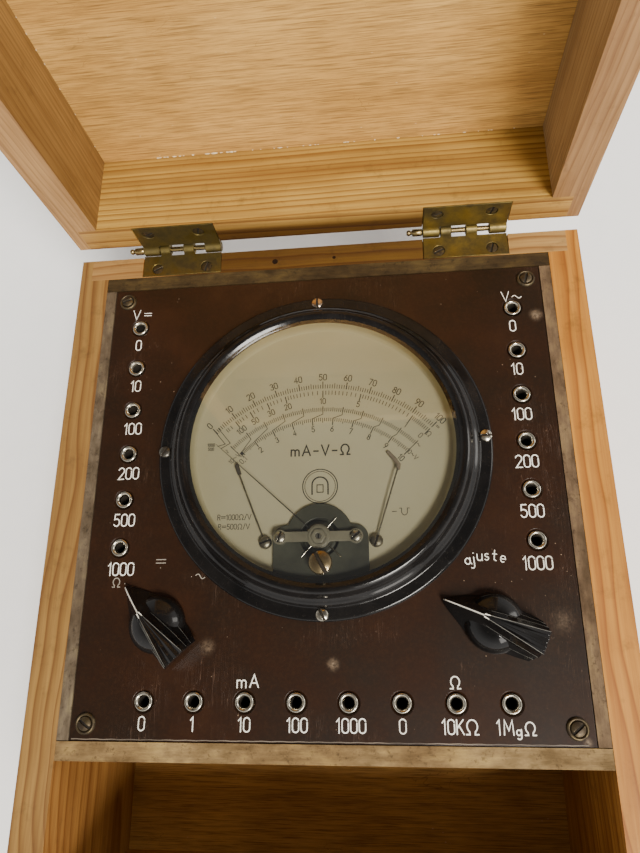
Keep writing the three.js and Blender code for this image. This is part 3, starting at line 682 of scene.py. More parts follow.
# Node, material, grain axis, colours, ring width, heart, seed, rim's facing and colour, the rest.
PINE_BOARDS = [
    ("case_side_left", "pine_case_left", "Y", LEFT_PINE, 3.2, (30, -60), 0.3, UP, (0.78, 0.90, 1.0), {}),
    ("case_side_right", "pine_case_right", "Y", RIGHT_PINE, 3.4, (10, 50), 2.1, UP, (1.05, 0.98, 0.62), {}),
    # On both back boards a painted shadow darkens the wood between the hinges: on the case back board from
    # top to bottom, on the lid's back board near its rim.
    ("case_back_board", "pine_case_back", "X", RIGHT_PINE, 4.0, (60, 30), 4.3, UP, (0.80, 1.0, 1.45),
     {"shadow_band": (0.002, (0.26, 0.205, 0.085))}),
    ("case_front_board", "pine_case_front", "X", RIGHT_PINE, 4.6, (-230, 20), 6.7, UP, (0.9, 0.95, 1.2), {}),
    ("lid_side_left", "pine_lid_left", "Z", LID_LEFT_PINE, 2.6, (-60, 120), 8.9, FRONT, (1.55, 1.58, 1.9),
     {"depth": 0.55}),
    ("lid_side_right", "pine_lid_right", "Z", LID_RIGHT_PINE, 2.6, (70, 110), 10.9, FRONT,
     (0.86, 0.69, 0.56), {"depth": 0.65}),
    ("lid_front_board", "pine_lid_front", "X", LID_PINE, 4.6, (80, 400), 12.1, FRONT, 1.0, {}),
    ("lid_back_board", "pine_lid_back", "X", LID_PINE, 2.9, (40, 170), 14.3, FRONT, (0.85, 0.78, 0.85),
     {"wander": 0.006, "shadow_band": (0.0105, (0.20, 0.155, 0.075)), "depth": 0.95}),
]


def dress(node, material, bevel):
    """Gives a CAD board its material and softened edges."""
    NODES[node].data.materials.clear()
    NODES[node].data.materials.append(material)
    round_edges(NODES[node], "worn_edges", bevel, 40).harden_normals = True


for node, look, along, palette, ring, heart, seed, facing, rim, rest in PINE_BOARDS:
    dress(node, pine(look, along, *palette, ring, heart, seed, (facing, rim), **rest), 0.7)
for board, look, bevel in (
        ("lid_top_panel", MAT_PLYWOOD, 0.5), ("case_bottom", MAT_PLYWOOD, 0.5),
        ("rail_left", old_wood("strip_wood_left", "Y", (0.50, 0.55, 0.56)), 0.5),
        ("rail_right", old_wood("strip_wood_right", "Y", (0.56, 0.53, 0.46)), 0.5),
        # The back rail's dark multiplier is a painted shadow.
        ("rail_back", old_wood("strip_wood_back_painted_shadow", "X", (0.21, 0.19, 0.10)), 0.5),
        ("divider_board", old_wood("strip_wood_front", "X", (0.96, 0.93, 0.64)), 0.6),
        ("selector_switch", MAT_PHENOLIC, 0.4), ("adjust_rheostat", MAT_PHENOLIC, 0.4),
        ("selector_shaft", MAT_NICKEL, 0.3), ("adjust_shaft", MAT_NICKEL, 0.3)):
    dress(board, look, bevel)


# ---- panel and sockets

def socket_place(node):
    """The middle of a socket on the panel, read from the model."""
    low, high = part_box(node)
    middle = (low + high) / 2 - PANEL
    return middle.x / MM, middle.y / MM


SOCKETS = {node: socket_place(node) for node in NODES if node.startswith("socket_")}
CORNERS = {
    "back_left": (-SCREW_X, SCREW_Y), "back_right": (SCREW_X, SCREW_Y),
    "front_left": (-SCREW_X, -SCREW_Y), "front_right": (SCREW_X, -SCREW_Y),
}


def build_panel():
    half_x, half_y = (panel_high.x - panel_low.x) / 2 / MM, (panel_high.y - panel_low.y) / 2 / MM
    edge = [(-half_x, -half_y), (half_x, -half_y), (half_x, half_y), (-half_x, half_y)]
    holes = [circle(x, y, SOCKET_HOLE, 40) for x, y in SOCKETS.values()]
    holes += [circle(x, y, SCREW_HOLE, 24) for x, y in CORNERS.values()]
    holes += [circle(x, KNOB_Y, SHAFT_HOLE, 32) for x, _ in KNOBS.values()]
    holes.append(circle(*METER, METER_CUTOUT, 120))
    mesh = plate_mesh("panel_sheet", [edge] + holes, -PANEL_THICKNESS, 0.0, 0.18)
    seat = [(SOCKET_HOLE + 0.05, -0.12), (3.3, -1.3), (3.3, -3.9)]
    add_turned(mesh, *[(seat, 40, shift(x, y)) for x, y in SOCKETS.values()])
    finish_piece("panel_sheet", mesh, MAT_LAMINATE, "paxolin", replaced=["panel"], at=panel_shift())
    # A pale line along the front edge: wear, and a painted highlight on the edge's bevel.
    worn = [(2 * i + 1 - half_x, 0.55 - half_y + 0.08 * math.sin(i * 1.7)) for i in range(round(half_x) - 1)]
    printed("panel_edge_wear_and_highlight", [worn], 0.34, 0.02, MAT_EDGE_WEAR_AND_HIGHLIGHT, "paxolin")


def build_socket(place, x, y):
    ring = [(3.2, -2.2), (3.68, -0.6), (3.68, 0.1), (3.45, 0.42), (3.1, 0.55), (2.75, 0.42), (2.4, 0.05),
            (2.15, -0.35), (2.05, -1.0)]
    bm = bmesh.new()
    lathe(bm, soften(ring, 0.25, 2), 40)
    # The bore is near-black: grime and painted shade down the hole.
    lathe(bm, [(2.05, -1.0), (2.0, -4.0), (2.0, -12.0), (0, -12.2)], 40, material=1)
    finish_piece(place + "_ring", bm, [MAT_NICKEL, MAT_GRIME_AND_SHADE], "nickel", replaced=[place],
                 at=panel_shift(x, y))


def screw_head(radius, height, groove, turn, flat):
    """A slotted screw head as a disc of rings, its slot sunk between two straight walls."""
    bm = bmesh.new()
    rings, spokes = 14, 56
    grid = []
    for i in range(rings + 1):
        share = i / rings
        dome = height * (1.0 if flat else math.sqrt(max(0.0, 1 - 0.72 * share ** 2)))
        dome -= height * 0.35 * max(0.0, share - 0.93) / 0.07
        grid.append([])
        for k in range(spokes if i else 1):
            a = 2 * math.pi * k / spokes
            x, y = radius * share * math.cos(a), radius * share * math.sin(a)
            across = abs(y * math.cos(turn) - x * math.sin(turn))
            depth = groove * 1.5 * min(1.0, max(0.0, (groove * 1.25 - across) / (groove * 0.35)))
            grid[-1].append(bm.verts.new(Vector((x, y, dome - min(depth, height * 0.8))) * MM))
    for low, high in zip(grid, grid[1:]):
        for k in range(spokes):
            after = (k + 1) % spokes
            corners = [low[k % len(low)], high[k], high[after], low[after % len(low)]]
            face = bm.faces.new(list(dict.fromkeys(corners)))
            middle = face.calc_center_median() / MM
            across = abs(middle.y * math.cos(turn) - middle.x * math.sin(turn))
            # Faces in the slot take the second material: grime and painted shade.
            face.material_index = 1 if across < groove * 1.15 else 0
    edge = grid[-1]
    skirt = [bm.verts.new(Vector((v.co.x, v.co.y, -0.6 * MM))) for v in edge]
    for k in range(spokes):
        after = (k + 1) % spokes
        bm.faces.new([edge[k], skirt[k], skirt[after], edge[after]])
    return bm


def put_screw(name, at, radius, height, groove, turn, material, slot, flat=False, **ties):
    head = screw_head(radius, height, groove, math.radians(turn), flat)
    finish_piece(name, head, [material, MAT_GRIME_AND_SHADE], slot, at=at, **ties)


SLOT_TURNS = {"back_left": 20, "back_right": 75, "front_left": -35, "front_right": 40}


def build_corner_screw(corner, x, y):
    cup = [(4.15, 0.0), (4.1, 0.35), (3.75, 0.95), (3.4, 1.12), (3.0, 0.95), (2.75, 0.45), (1.0, 0.2),
           (0, 0.2)]
    bm = bmesh.new()
    lathe(bm, soften(cup, 0.2, 2))
    finish_piece("cup_washer_" + corner, bm, MAT_BRASS_DULL, "old_brass", at=panel_shift(x, y))
    put_screw("corner_screw_" + corner, panel_shift(x, y, 0.3), 2.75, 1.5, 0.38, SLOT_TURNS[corner],
              MAT_BRASS_DULL, "old_brass", replaced=["panel_screw_" + corner])


build_panel()
for node, place in SOCKETS.items():
    build_socket(node, *place)
for corner, place in CORNERS.items():
    build_corner_screw(corner, *place)


# ---- panel lettering

ENGRAVED = 0.47
NUMBER_HEIGHT, LABEL_HEIGHT = 5.15, 5.0
NUMBER_DROP, LABEL_DROP = 9.0, 8.0
RANGES = ["0", "10", "100", "200", "500", "1000"]
ROW_LABELS = ["0", "1", "10", "100", "1000", "0", "10KΩ"]

# Each sign: text, height, place and turn. The last row label is four signs.
COLUMN_SIGNS = [("V", 4.9, (-88.9, 86.3), 0), ("=", 4.4, (-83.4, 86.2), 2), ("V", 4.8, (84.0, 85.0), 0),
                ("~", 5.0, (89.0, 84.6), 0)]
MEGOHM_SIGNS = [("1", 5.0, (-5.6, -8.0)), ("M", 5.0, (-2.0, -8.0)), ("g", 4.1, (1.6, -8.6)),
                ("Ω", 4.4, (5.7, -8.3))]
ROW_SIGNS = [("m", 4.6, (-31.6, -77.8)), ("A", 4.6, (-26.6, -77.6)), ("Ω", 4.3, (50.8, -77.9))]
WORN_SIGNS = [("Ω", 3.7, (-86.6, -39.3), 0), (".", 1.0, (-82.9, -39.3), 0), ("=", 5.0, (-67.9, -30.9), 0),
              (".", 1.0, (-67.9, -33.0), 0), (".", 1.0, (-54.3, -36.8), 0), ("~", 5.0, (-50.6, -37.2), 12)]
WORD_SIGNS = [("a", 4.8, (58.8, -31.5), -6), ("j", 4.8, (60.6, -31.2), -4), ("u", 4.8, (63.6, -30.1), 0),
              ("s", 4.8, (66.4, -29.9), 3), ("t", 4.8, (69.5, -30.3), 8), ("e", 4.8, (72.8, -30.9), 12)]


def written(signs, width):
    return [(stroke, width) for sign in signs for stroke in lettering(*sign)]


def build_panel_lettering():
    strokes = []
    for side, nudge, growth in (("left", -0.5, 0.48), ("right", -0.7, 0.0)):
        for i, label in enumerate(RANGES):
            x, y = SOCKETS[f"socket_{side}_{i + 1}"]
            middle = (x + nudge + growth * len(label), y - NUMBER_DROP)
            strokes += lettering(label, NUMBER_HEIGHT, middle, gap=16)
    strokes += written(COLUMN_SIGNS, ENGRAVED * 0.72)
    for i, label in enumerate(ROW_LABELS):
        x, y = SOCKETS[f"socket_row_{i + 1}"]
        strokes += lettering(label, LABEL_HEIGHT, (x + 0.3 * len(label) - 0.4, y - LABEL_DROP), gap=17)
    x, y = SOCKETS["socket_row_8"]
    strokes += written([(text, height, (x + u, y + v)) for text, height, (u, v) in MEGOHM_SIGNS], ENGRAVED)
    strokes += written(ROW_SIGNS, ENGRAVED)
    strokes += written(WORD_SIGNS, ENGRAVED * 0.85)
    printed("panel_engraving", strokes, ENGRAVED, 0.03, MAT_FILL, "dial")
    worn = written(WORN_SIGNS, ENGRAVED * 0.8)
    printed("panel_worn_engraving", worn, ENGRAVED, 0.03, MAT_WORN_FILL, "dial")


build_panel_lettering()


# ---- meter

def build_meter_case():
    flange = [(61.0, 0.05), (71.6, 0.05), (72.0, 0.5), (72.0, 1.7), (71.5, 2.3), (70.9, 2.5), (67.0, 2.65),
              (66.5, 3.0), (66.2, 4.1), (65.4, 5.0), (64.2, 5.7), (63.2, 6.7), (62.6, 8.0), (61.9, 9.2),
              (60.9, 9.9), (59.8, 10.0), (58.8, 9.6), (57.9, 9.0), (56.9, 8.5), (56.3, 8.1), (56.4, 7.7),
              (57.1, 7.5), (57.2, 0.2)]
    bm = bmesh.new()
    lathe(bm, soften(flange, 0.6, 4), 160)
    lathe(bm, [(61.0, 0.05), (61.0, -45.0), (59.5, -46.0), (0, -46.0)], 96)
    finish_piece("meter_case_moulding", bm, MAT_BAKELITE, "black_bakelite", replaced=["meter_case"],
                 at=panel_shift(*METER))


def build_glass():
    bm = bmesh.new()
    lathe(bm, [(0, 8.9), (57.9, 8.9)], 96)
    finish_piece("meter_window", bm, MAT_GLASS, "glass", replaced=["meter_glass"], at=panel_shift(*METER))


def build_dial():
    """The card and the pale turned-up wall that runs round it to the glass."""
    outlines = [circle(*METER, 56.9, 120), circle(*PIVOT, 12)]
    mesh = plate_mesh("dial_card", outlines, 0.1, DIAL_TOP, 0.05)
    wall = [(55.5, 0.88), (56.2, 1.5), (56.7, 3.0), (56.9, 5.0), (57.0, 7.4)]
    add_turned(mesh, (wall, 120, shift(*METER)))
    finish_piece("dial_card", mesh, MAT_DIAL, "dial", replaced=["dial_plate"], at=panel_shift())


SWEEP_START, SWEEP = -45.3, 45.8


def at_angle(radius, degrees):
    a = math.radians(degrees)
    return (DIAL_CENTRE[0] + radius * math.sin(a), DIAL_CENTRE[1] + radius * math.cos(a))


def tick(inner, outer, degrees):
    return [at_angle(inner, degrees), at_angle(outer, degrees)]


def share_angle(share):
    return SWEEP_START + (SWEEP - SWEEP_START) * share


def ohm_angle(ohms):
    """Half scale is ten ohms, as on any series ohmmeter."""
    return share_angle(10.0 / (10.0 + ohms))


def low_volt_angle(volts):
    """The cramped lower end of the ten-volt alternating scale."""
    if volts >= 2:
        return SWEEP - 10.15 * (10 - volts)
    if volts >= 1:
        return -43.3 + 7.9 * (volts - 1)
    return -45.9 + 2.6 * volts


FINE, BOLD = 0.30, 0.43
# Radii of the four scales, in millimetres from the dial's centre.
PERCENT_ARC, TWIN_ARC, OHM_ARC, VOLT_ARC = 65.6, 54.8, 64.3, 51.6
# First and last ohms, and the step between ticks.
OHM_STEPS = [(0, 1, 0.1), (1, 5, 0.25), (5, 10, 0.5), (10, 20, 1), (20, 30, 2), (30, 50, 5), (50, 100, 10),
             (100, 300, 50)]
OHM_NUMBERS = (0, 1, 5, 10, 20, 30, 50, 100)
SCALE_ENDS = [("1000", 1.3, (-48.6, 19.3), 0), ("500", 1.3, (-48.6, 17.4), 0), ("~", 2.0, (-41.3, 16.2), 40),
              ("10~V", 1.9, (-37.9, 12.9), -45), ("0,1", 2.3, (-34.0, 12.0), -45),
              ("=", 1.9, (50.2, 24.0), 48), ("Ω", 2.2, (46.3, 21.0), 48), ("0", 2.3, (42.8, 20.4), 46),
              ("~", 2.0, (41.8, 16.2), 46), ("10~V", 1.9, (38.9, 12.2), 46)]


def percent_scale():
    """The outer scale of a hundred parts, its twin below it, and its numbers."""
    marks = []
    for i in range(101):
        a = share_angle(i / 100)
        rank = 2 if i % 10 == 0 else 1 if i % 5 == 0 else 0
        width = BOLD if rank == 2 else FINE
        marks.append((tick(PERCENT_ARC, (67.3, 67.9, 68.6)[rank], a), width))
        marks.append((tick(TWIN_ARC, (56.3, 56.6, 56.9)[rank], a), width))
        if rank == 2:
            marks += written([(str(i), 2.8, at_angle(70.9, a), a)], 0.37)
    return marks


def ohm_scale():
    marks = []
    for low, high, step in OHM_STEPS:
        for k in range(round((high - low) / step)):
            marks.append((tick(62.6, OHM_ARC, ohm_angle(low + k * step)), FINE))
    for ohms in OHM_NUMBERS:
        a = ohm_angle(ohms)
        marks.append((tick(61.2, OHM_ARC, a), BOLD))
        if ohms:
            marks += written([(str(ohms), 2.5, at_angle(59.5, a), a, 22)], 0.34)
    return marks


def volt_scale():
    """The inner ten-volt scale, joined to the outer one by cranked lines."""
    marks = []
    for k in range(5, 101):
        volts = k / 10
        a = low_volt_angle(volts)
        major = k % 10 == 0
        numbered = major and volts > 1
        inner = 48.6 if numbered else 49.6 if k % 5 == 0 else 50.2
        marks.append((tick(inner, VOLT_ARC, a), BOLD if major else FINE))
        if numbered:
            marks += written([(str(k // 10), 2.4, at_angle(46.7, a), a, 22)], 0.34)
        if major and k < 100:
            b = share_angle(volts / 10)
            marks.append(([at_angle(TWIN_ARC, b), at_angle(53.4, b), at_angle(VOLT_ARC, a)], FINE))
    return marks


def dial_symbol(x, y):
    """A plain round symbol: a horseshoe magnet and coil inside two rings."""
    return [
        (bow(x, y, 7.4, 7.4, 0, 360, 60), 0.42),
        (bow(x, y, 6.5, 6.5, 0, 360, 60), 0.24),
        ([(x - 3.4, y - 3.4)] + bow(x, y + 0.6, 3.4, 3.4, 180, 0, 16) + [(x + 3.4, y - 3.4)], 0.62),
        ([(x - 1.3, y - 2.6), (x + 1.3, y - 2.6), (x + 1.3, y + 0.6), (x - 1.3, y + 0.6),
          (x - 1.3, y - 2.6)], 0.4),
    ]


def build_scales():
    marks = percent_scale() + ohm_scale() + volt_scale()
    marks += [(tick(50.0, 56.9, end), FINE) for end in (SWEEP, SWEEP_START)]
    for far, near, end in (((68.6, 0.0), (59.6, -0.9), (-45.6, 18.6)),
                           ((67.2, 1.6), (58.2, 0.9), (-44.0, 17.6))):
        marks.append(([at_angle(r, SWEEP_START + a) for r, a in (far, near)] + [end], FINE))
    marks += written([(*sign, 24) for sign in SCALE_ENDS], 0.26)
    marks += written([("mA-V-Ω", 4.5, (-0.2, 15.3), 0, 34)], 0.66)
    marks += written([("R=1000Ω/V", 2.2, (-36.9, -13.0)), ("R=500Ω/V", 2.2, (-36.9, -17.0))], 0.28)
    marks += written([("-", 4.0, (30.4, -11.8))], 0.30)
    trough = [(32.6, -10.8), (33.4, -10.8)] + bow(34.6, -12.2, 1.2, 1.5, 180, 360)
    marks.append((trough + [(35.8, -10.8), (36.6, -10.8)], 0.30))
    printed("dial_scales", marks + dial_symbol(-0.4, -0.6), FINE, DIAL_TOP + 0.04, MAT_INK, "needle")


BRIDGE_POSTS = (-16.4, 14.6)


def build_movement():
    outline = bow(*METER, 56.2, 56.2, 249, 290, 18) + [(19.6, -22.4)]
    outline += bow(14.6, -22.4, 5.0, 5.0, 0, 90, 10)
    outline += bow(-0.3, -22.4, 14.0, 14.0, 22, 158, 32)
    outline += bow(-14.8, -22.4, 5.0, 5.0, 90, 180, 10)
    mesh = plate_mesh("pole_plate", [outline, circle(*PIVOT, 8.0)], DIAL_TOP + 0.15, 3.2, 0.3)
    core = [(0, 2.2), (6.4, 2.2), (6.9, 1.8), (6.9, -1.0), (11.4, -1.0), (11.4, -40), (0, -40)]
    add_turned(mesh, (soften(core, 0.2), 48, shift(*PIVOT)))
    finish_piece("pole_plate", mesh, MAT_PLATE, "grey_metal", replaced=["movement_magnet"], at=panel_shift())


def build_bridge():
    middle, y = PIVOT
    left, right = BRIDGE_POSTS
    outline = bow(right, y, 3.0, 3.0, -135, 135, 20) + [(right - 3.4, y + 2.1), (middle + 4.6, y + 2.1)]
    outline += bow(middle, y, 4.9, 4.9, 26, 154, 18) + [(middle - 4.6, y + 2.1), (left + 3.4, y + 2.1)]
    outline += bow(left, y, 3.0, 3.0, 45, 315, 20) + [(left + 3.4, y - 2.1), (middle - 4.6, y - 2.1)]
    outline += bow(middle, y, 4.9, 4.9, 206, 334, 18) + [(middle + 4.6, y - 2.1), (right - 3.4, y - 2.1)]
    mesh = plate_mesh("movement_bridge_bar", [outline], 5.6, 6.7, 0.25)
    hub = soften([(4.5, 6.6), (4.4, 7.0), (4.0, 7.1), (3.2, 7.1)], 0.15)
    nut = soften([(3.2, 6.9), (3.2, 7.6), (2.8, 7.85), (1.5, 7.85), (1.3, 7.6), (0, 7.6)], 0.15)
    posts = [([(2.7, 3.1), (2.7, 5.7)], 32, shift(x, y)) for x in BRIDGE_POSTS]
    add_turned(mesh, *posts, (hub, 48, shift(*PIVOT)), (nut, 6, shift(*PIVOT)))
    finish_piece("movement_bridge_bar", mesh, MAT_BRIDGE, "grey_metal", replaced=["movement_bridge"],
                 at=panel_shift())
    put_screw("bridge_jewel_screw", panel_shift(middle, y, 7.5), 1.3, 0.4, 0.2, 85, MAT_NICKEL, "nickel",
              flat=True)
    for name, x, turn in (("left", left, 68), ("right", right, 40)):
        put_screw("bridge_screw_" + name, panel_shift(x, y, 6.7), 2.4, 1.3, 0.3, turn, MAT_NICKEL, "nickel")


def build_pointer():
    """The needle with its coil hub, its tail and its bright counterweight arms."""
    bm = bmesh.new()
    tube(bm, [(0, 0, 4.6), (0, 20, 4.4), (0, 42, 4.2), (0, 61.5, 3.4)], [0.30, 0.22, 0.16, 0.07])
    tube(bm, [(0, 0, 4.6), (0, -8, 4.6), (0, -12, 4.5)], [0.34, 0.26, 0.2], material=1)
    tube(bm, [(-10.5, 0, 4.5), (0, 0, 4.6), (10.5, 0, 4.5)], [0.16, 0.28, 0.16], material=1)
    lathe(bm, soften([(0, 3.4), (2.9, 3.4), (2.9, 5.0), (0, 5.2)], 0.3), 32)
    turned = panel_shift(*PIVOT) @ Matrix.Rotation(math.radians(POINTER_REST), 4, "Z")
    finish_piece("needle", bm, [MAT_NEEDLE, MAT_NICKEL], "needle", "pointer", ["pointer"], turned)


def build_spring():
    """The flat hairspring wound round the staff under the bridge."""
    turns, steps = 4, 140
    coil = []
    for i in range(steps + 1):
        a = 2 * math.pi * turns * i / steps
        r = 1.6 + 4.4 * i / steps
        coil.append((PIVOT[0] + r * math.cos(a), PIVOT[1] + r * math.sin(a), 5.3))
    bm = bmesh.new()
    tube(bm, coil, 0.07, 4)
    finish_piece("hairspring", bm, MAT_BRASS, "nickel", at=panel_shift())


def build_stop(side, foot, tip, sleeve, sleeve_look, slot_turn):
    """A needle stop: a turned foot, a wire arched up to its tip, and a sleeve on the tip."""
    bm = bmesh.new()
    lathe(bm, soften([(2.7, DIAL_TOP), (2.7, 2.0), (2.3, 2.5), (0, 2.5)], 0.3), 32, shift(*foot))
    steps = [i / 12 for i in range(13)]
    wire = [(*Vector(foot).lerp(tip, t), 2.6 + 2.0 * math.sin(t * 1.5)) for t in steps]
    tube(bm, wire, 0.34, 10)
    tube(bm, sleeve, [0.8, 0.9, 0.9, 0.75], 12, material=1)
    finish_piece("needle_stop_" + side, bm, [MAT_STOP, sleeve_look], "grey_metal",
                 replaced=["pointer_stop_" + side], at=panel_shift())
    put_screw("stop_screw_" + side, panel_shift(*foot, 2.4), 2.6, 1.6, 0.3, slot_turn, MAT_STOP, "grey_metal")


FLANGE_SCREW_CIRCLE = 69.3
FLANGE_SCREWS = [("back", 91.5, 92, MAT_COPPER), ("left", 180, 60, MAT_STEEL_DARK),
                 ("right", 2, 4, MAT_NICKEL), ("front", 270, 118, MAT_NICKEL)]
ZERO_SCREW = (0.6, -33.4)

build_meter_case()
build_glass()
build_dial()
build_scales()
build_movement()
build_bridge()
build_pointer()
build_spring()
build_stop("left", (-23.2, -24.0), (-35.0, 5.6),
           [(-34.4, 4.6, 4.4), (-35.2, 6.6, 4.5), (-35.9, 8.4, 4.3), (-36.1, 8.9, 3.6)], MAT_RUBBER, 20)
build_stop("right", (22.8, -24.0), (32.6, 5.6),
           [(32.7, 5.0, 4.3), (33.0, 7.0, 3.9), (31.2, 10.2, 2.2), (28.6, 13.4, 1.9)], MAT_PALE_RUBBER, 70)
for name, angle, turn, look in FLANGE_SCREWS:
    a = math.radians(angle)
    x, y = METER[0] + FLANGE_SCREW_CIRCLE * math.cos(a), METER[1] + FLANGE_SCREW_CIRCLE * math.sin(a)
    put_screw("flange_screw_" + name, panel_shift(x, y, 2.4), 2.6, 1.5, 0.34, turn, look, "nickel")
put_screw("zero_screw_head", panel_shift(*ZERO_SCREW, 9.7), 4.7, 2.3, 0.6, -62, MAT_ZERO, "old_brass",
          body="zero_adjuster", replaced=["zero_adjust_screw"])


# ---- knobs

APEX, NOSE, TAIL = 5.6, 20.6, -18.0
LEFT_TO_RIGHT = (-1, 1)


def knob_section(x):
    """Half outline of the grip at a place along the knob, from its base to the top's middle."""
    floor, groove, bow_in = 1.0, 0.0, 1.3
    if x >= APEX:
        t = (x - APEX) / (NOSE - APEX)
        top, wide, base = 3.8 + 10.4 * (1 - t) ** 0.85, 0.42, 0.9 + 8.3 * (1 - t) ** 0.9
    else:
        t = (APEX - x) / (APEX - TAIL)
        top, wide, base = 14.2 + 1.6 * math.sin(math.pi / 2 * t), 0.42 + 3.8 * t, 9.2 - 1.3 * t ** 2
        groove, bow_in = 0.95 * min(1.0, 1.8 * t), 1.3 - 0.5 * t
        floor += 2.6 * min(1.0, max(0.0, (-10 - x) / 5))
    side = []
    for k in range(7):
        s = k / 6
        inward = groove * 0.8 if k % 2 else 0.0
        side.append((wide + (base - wide) * (1 - s) ** bow_in - inward, floor + (top - floor) * s))
    return side + [(wide * 2 / 3, top - groove * 0.75), (wide / 3, top), (0.0, top - groove * 0.6)]


def undercut(x, z):
    """How far the grip's tail leans in at a height."""
    return x + 2.4 * max(0.0, (-12 - x) / 6) * (1 - z / 16)


def grip_shape():
    """The winged grip, lofted through its sections, on its domed skirt."""
    stations = [20.6, 20.2, 18.5, 16, 13, 10, 7.5, 5.6, 3, 0, -3, -6, -9, -10.5, -12, -14, -15.5, -17, -18]
    bm = bmesh.new()
    rows = []
    for x in stations:
        half = knob_section(x)
        full = half + [(-w, z) for w, z in half[-2::-1]]
        rows.append([bm.verts.new(Vector((undercut(x, z), w, z)) * MM) for w, z in full])
    for a, b in zip(rows, rows[1:]):
        for k in range(len(a)):
            bm.faces.new([a[k - 1], a[k], b[k], b[k - 1]])
    for end in (rows[0], rows[-1]):
        bm.faces.new(end)
    skirt = [(3.2, 0.5), (11.1, 0.5), (11.5, 0.9)] + bow(0, 2.0, 11.5, 8.0, 0, 90, 22)[:-1] + [(0, 10)]
    lathe(bm, skirt, 72)
    return bm


def pointer_line():
    """The white line down the nose, forked along the first of the grip's edges."""
    bm = bmesh.new()
    nose = [((20.75, 0, knob_section(NOSE)[6][1] - 1.5), 0.24)]
    for x in (20.3, 18.5, 16, 13, 10, 7.5, 5.6):
        nose.append(((x, 0, knob_section(x)[6][1] + 0.10), 0.24))
    stripe(bm, nose)
    for sign in LEFT_TO_RIGHT:
        fork = []
        for x, half in ((5.5, 0.24), (4.6, 0.2), (3.4, 0.1)):
            edge, top = knob_section(x)[6]
            fork.append(((x, sign * edge, top + 0.12), half))
        stripe(bm, fork)
    return bm


def rubbed_ridges():
    """Painted highlights: pale lines along three of the grip's ridges on each side."""
    bm = bmesh.new()
    for corner, half in ((6, 0.11), (4, 0.06), (2, 0.06)):
        for sign in LEFT_TO_RIGHT:
            edge = []
            for x in (3.2, 0, -3, -6, -9, -12, -14, -16, -17.6):
                out, top = knob_section(x)[corner]
                edge.append(((undercut(x, top), sign * out, top + 0.06), half))
            stripe(bm, edge)
    return bm


def build_knob(name, x, angle):
    turned = panel_shift(x, KNOB_Y) @ Matrix.Rotation(math.radians(angle), 4, "Z")
    body = KNOB_BODIES[name]
    knob = finish_piece(name + "_grip", grip_shape(), MAT_BAKELITE, "black_bakelite", body,
                        [name + "_knob"], turned, 26.0)
    round_edges(knob, "crests", 0.25, 26)
    # Painted highlights along the grip's ridges.
    finish_piece(name + "_rubbed_ridges", rubbed_ridges(), MAT_RIDGE_HIGHLIGHT, "black_bakelite", body, at=turned)
    finish_piece(name + "_white_line", pointer_line(), MAT_FILL, "dial", body, at=turned)


for name, (x, angle) in KNOBS.items():
    build_knob(name, x, angle)


# ---- hinges

LEAF_THICKNESS = 1.5
LEAF_GAP = 0.06
HINGE_SCREW = 2.65
SUNK = 0.75
PIN_HEAD = 7.6
LID_KNUCKLES = [(0.0, 8.0), (30.8, 38.8)]
CASE_KNUCKLES = [(8.3, 13.4), (20.0, 25.4)]
ALONG_X = Matrix.Rotation(math.radians(90), 4, "Y")
LID_OPEN = Matrix.Rotation(math.radians(-90), 4, "X")


def leaf_mesh(x, length, depth, knuckles, screws, side):
    """One hinge leaf drawn about the hinge axis, on a closed lid's side or the case's side."""
    low, high = (LEAF_GAP, LEAF_THICKNESS) if side > 0 else (-LEAF_THICKNESS, -LEAF_GAP)
    inner = -HINGE_OFFSET - depth
    edge = [(x, inner), (x + length, inner), (x + length, -3.3), (x, -3.3)]
    holes = [circle(place, reach, HINGE_SCREW + 0.05, 32) for place, reach in screws]
    bm = bmesh.new()
    bm.from_mesh(plate_mesh("hinge_leaf_plate", [edge] + holes, low, high))
    for start, end in knuckles:
        block(bm, (x + start, -3.6, low), (x + end, -1.6, high), 0.2)
        width = end - start
        ring = [(1.4, 0.1), (2.3, 0.0), (2.7, 0.35), (2.7, width - 0.35), (2.3, width), (1.4, width - 0.1),
                (1.4, 0.1)]
        lathe(bm, ring, 36, shift(x + start, 0) @ ALONG_X)
    return bm


def pin_mesh(x, length):
    """The loose pin: a ball end and collar outside the knuckles, a plain shank through them."""
    ball = [(0, 0), (0.9, 0.15), (1.35, 0.7), (1.42, 1.2), (1.2, 1.8), (0.8, 2.15), (0.8, 2.5), (1.55, 2.75),
            (1.75, 3.1)]
    shank = [(1.75, -0.6), (1.5, -0.25), (1.25, -0.1), (1.25, length - 0.3), (1.0, length), (0, length + 0.1)]
    bm = bmesh.new()
    lathe(bm, [(r, h - PIN_HEAD) for r, h in ball] + shank, 32, shift(x, 0) @ ALONG_X)
    return bm


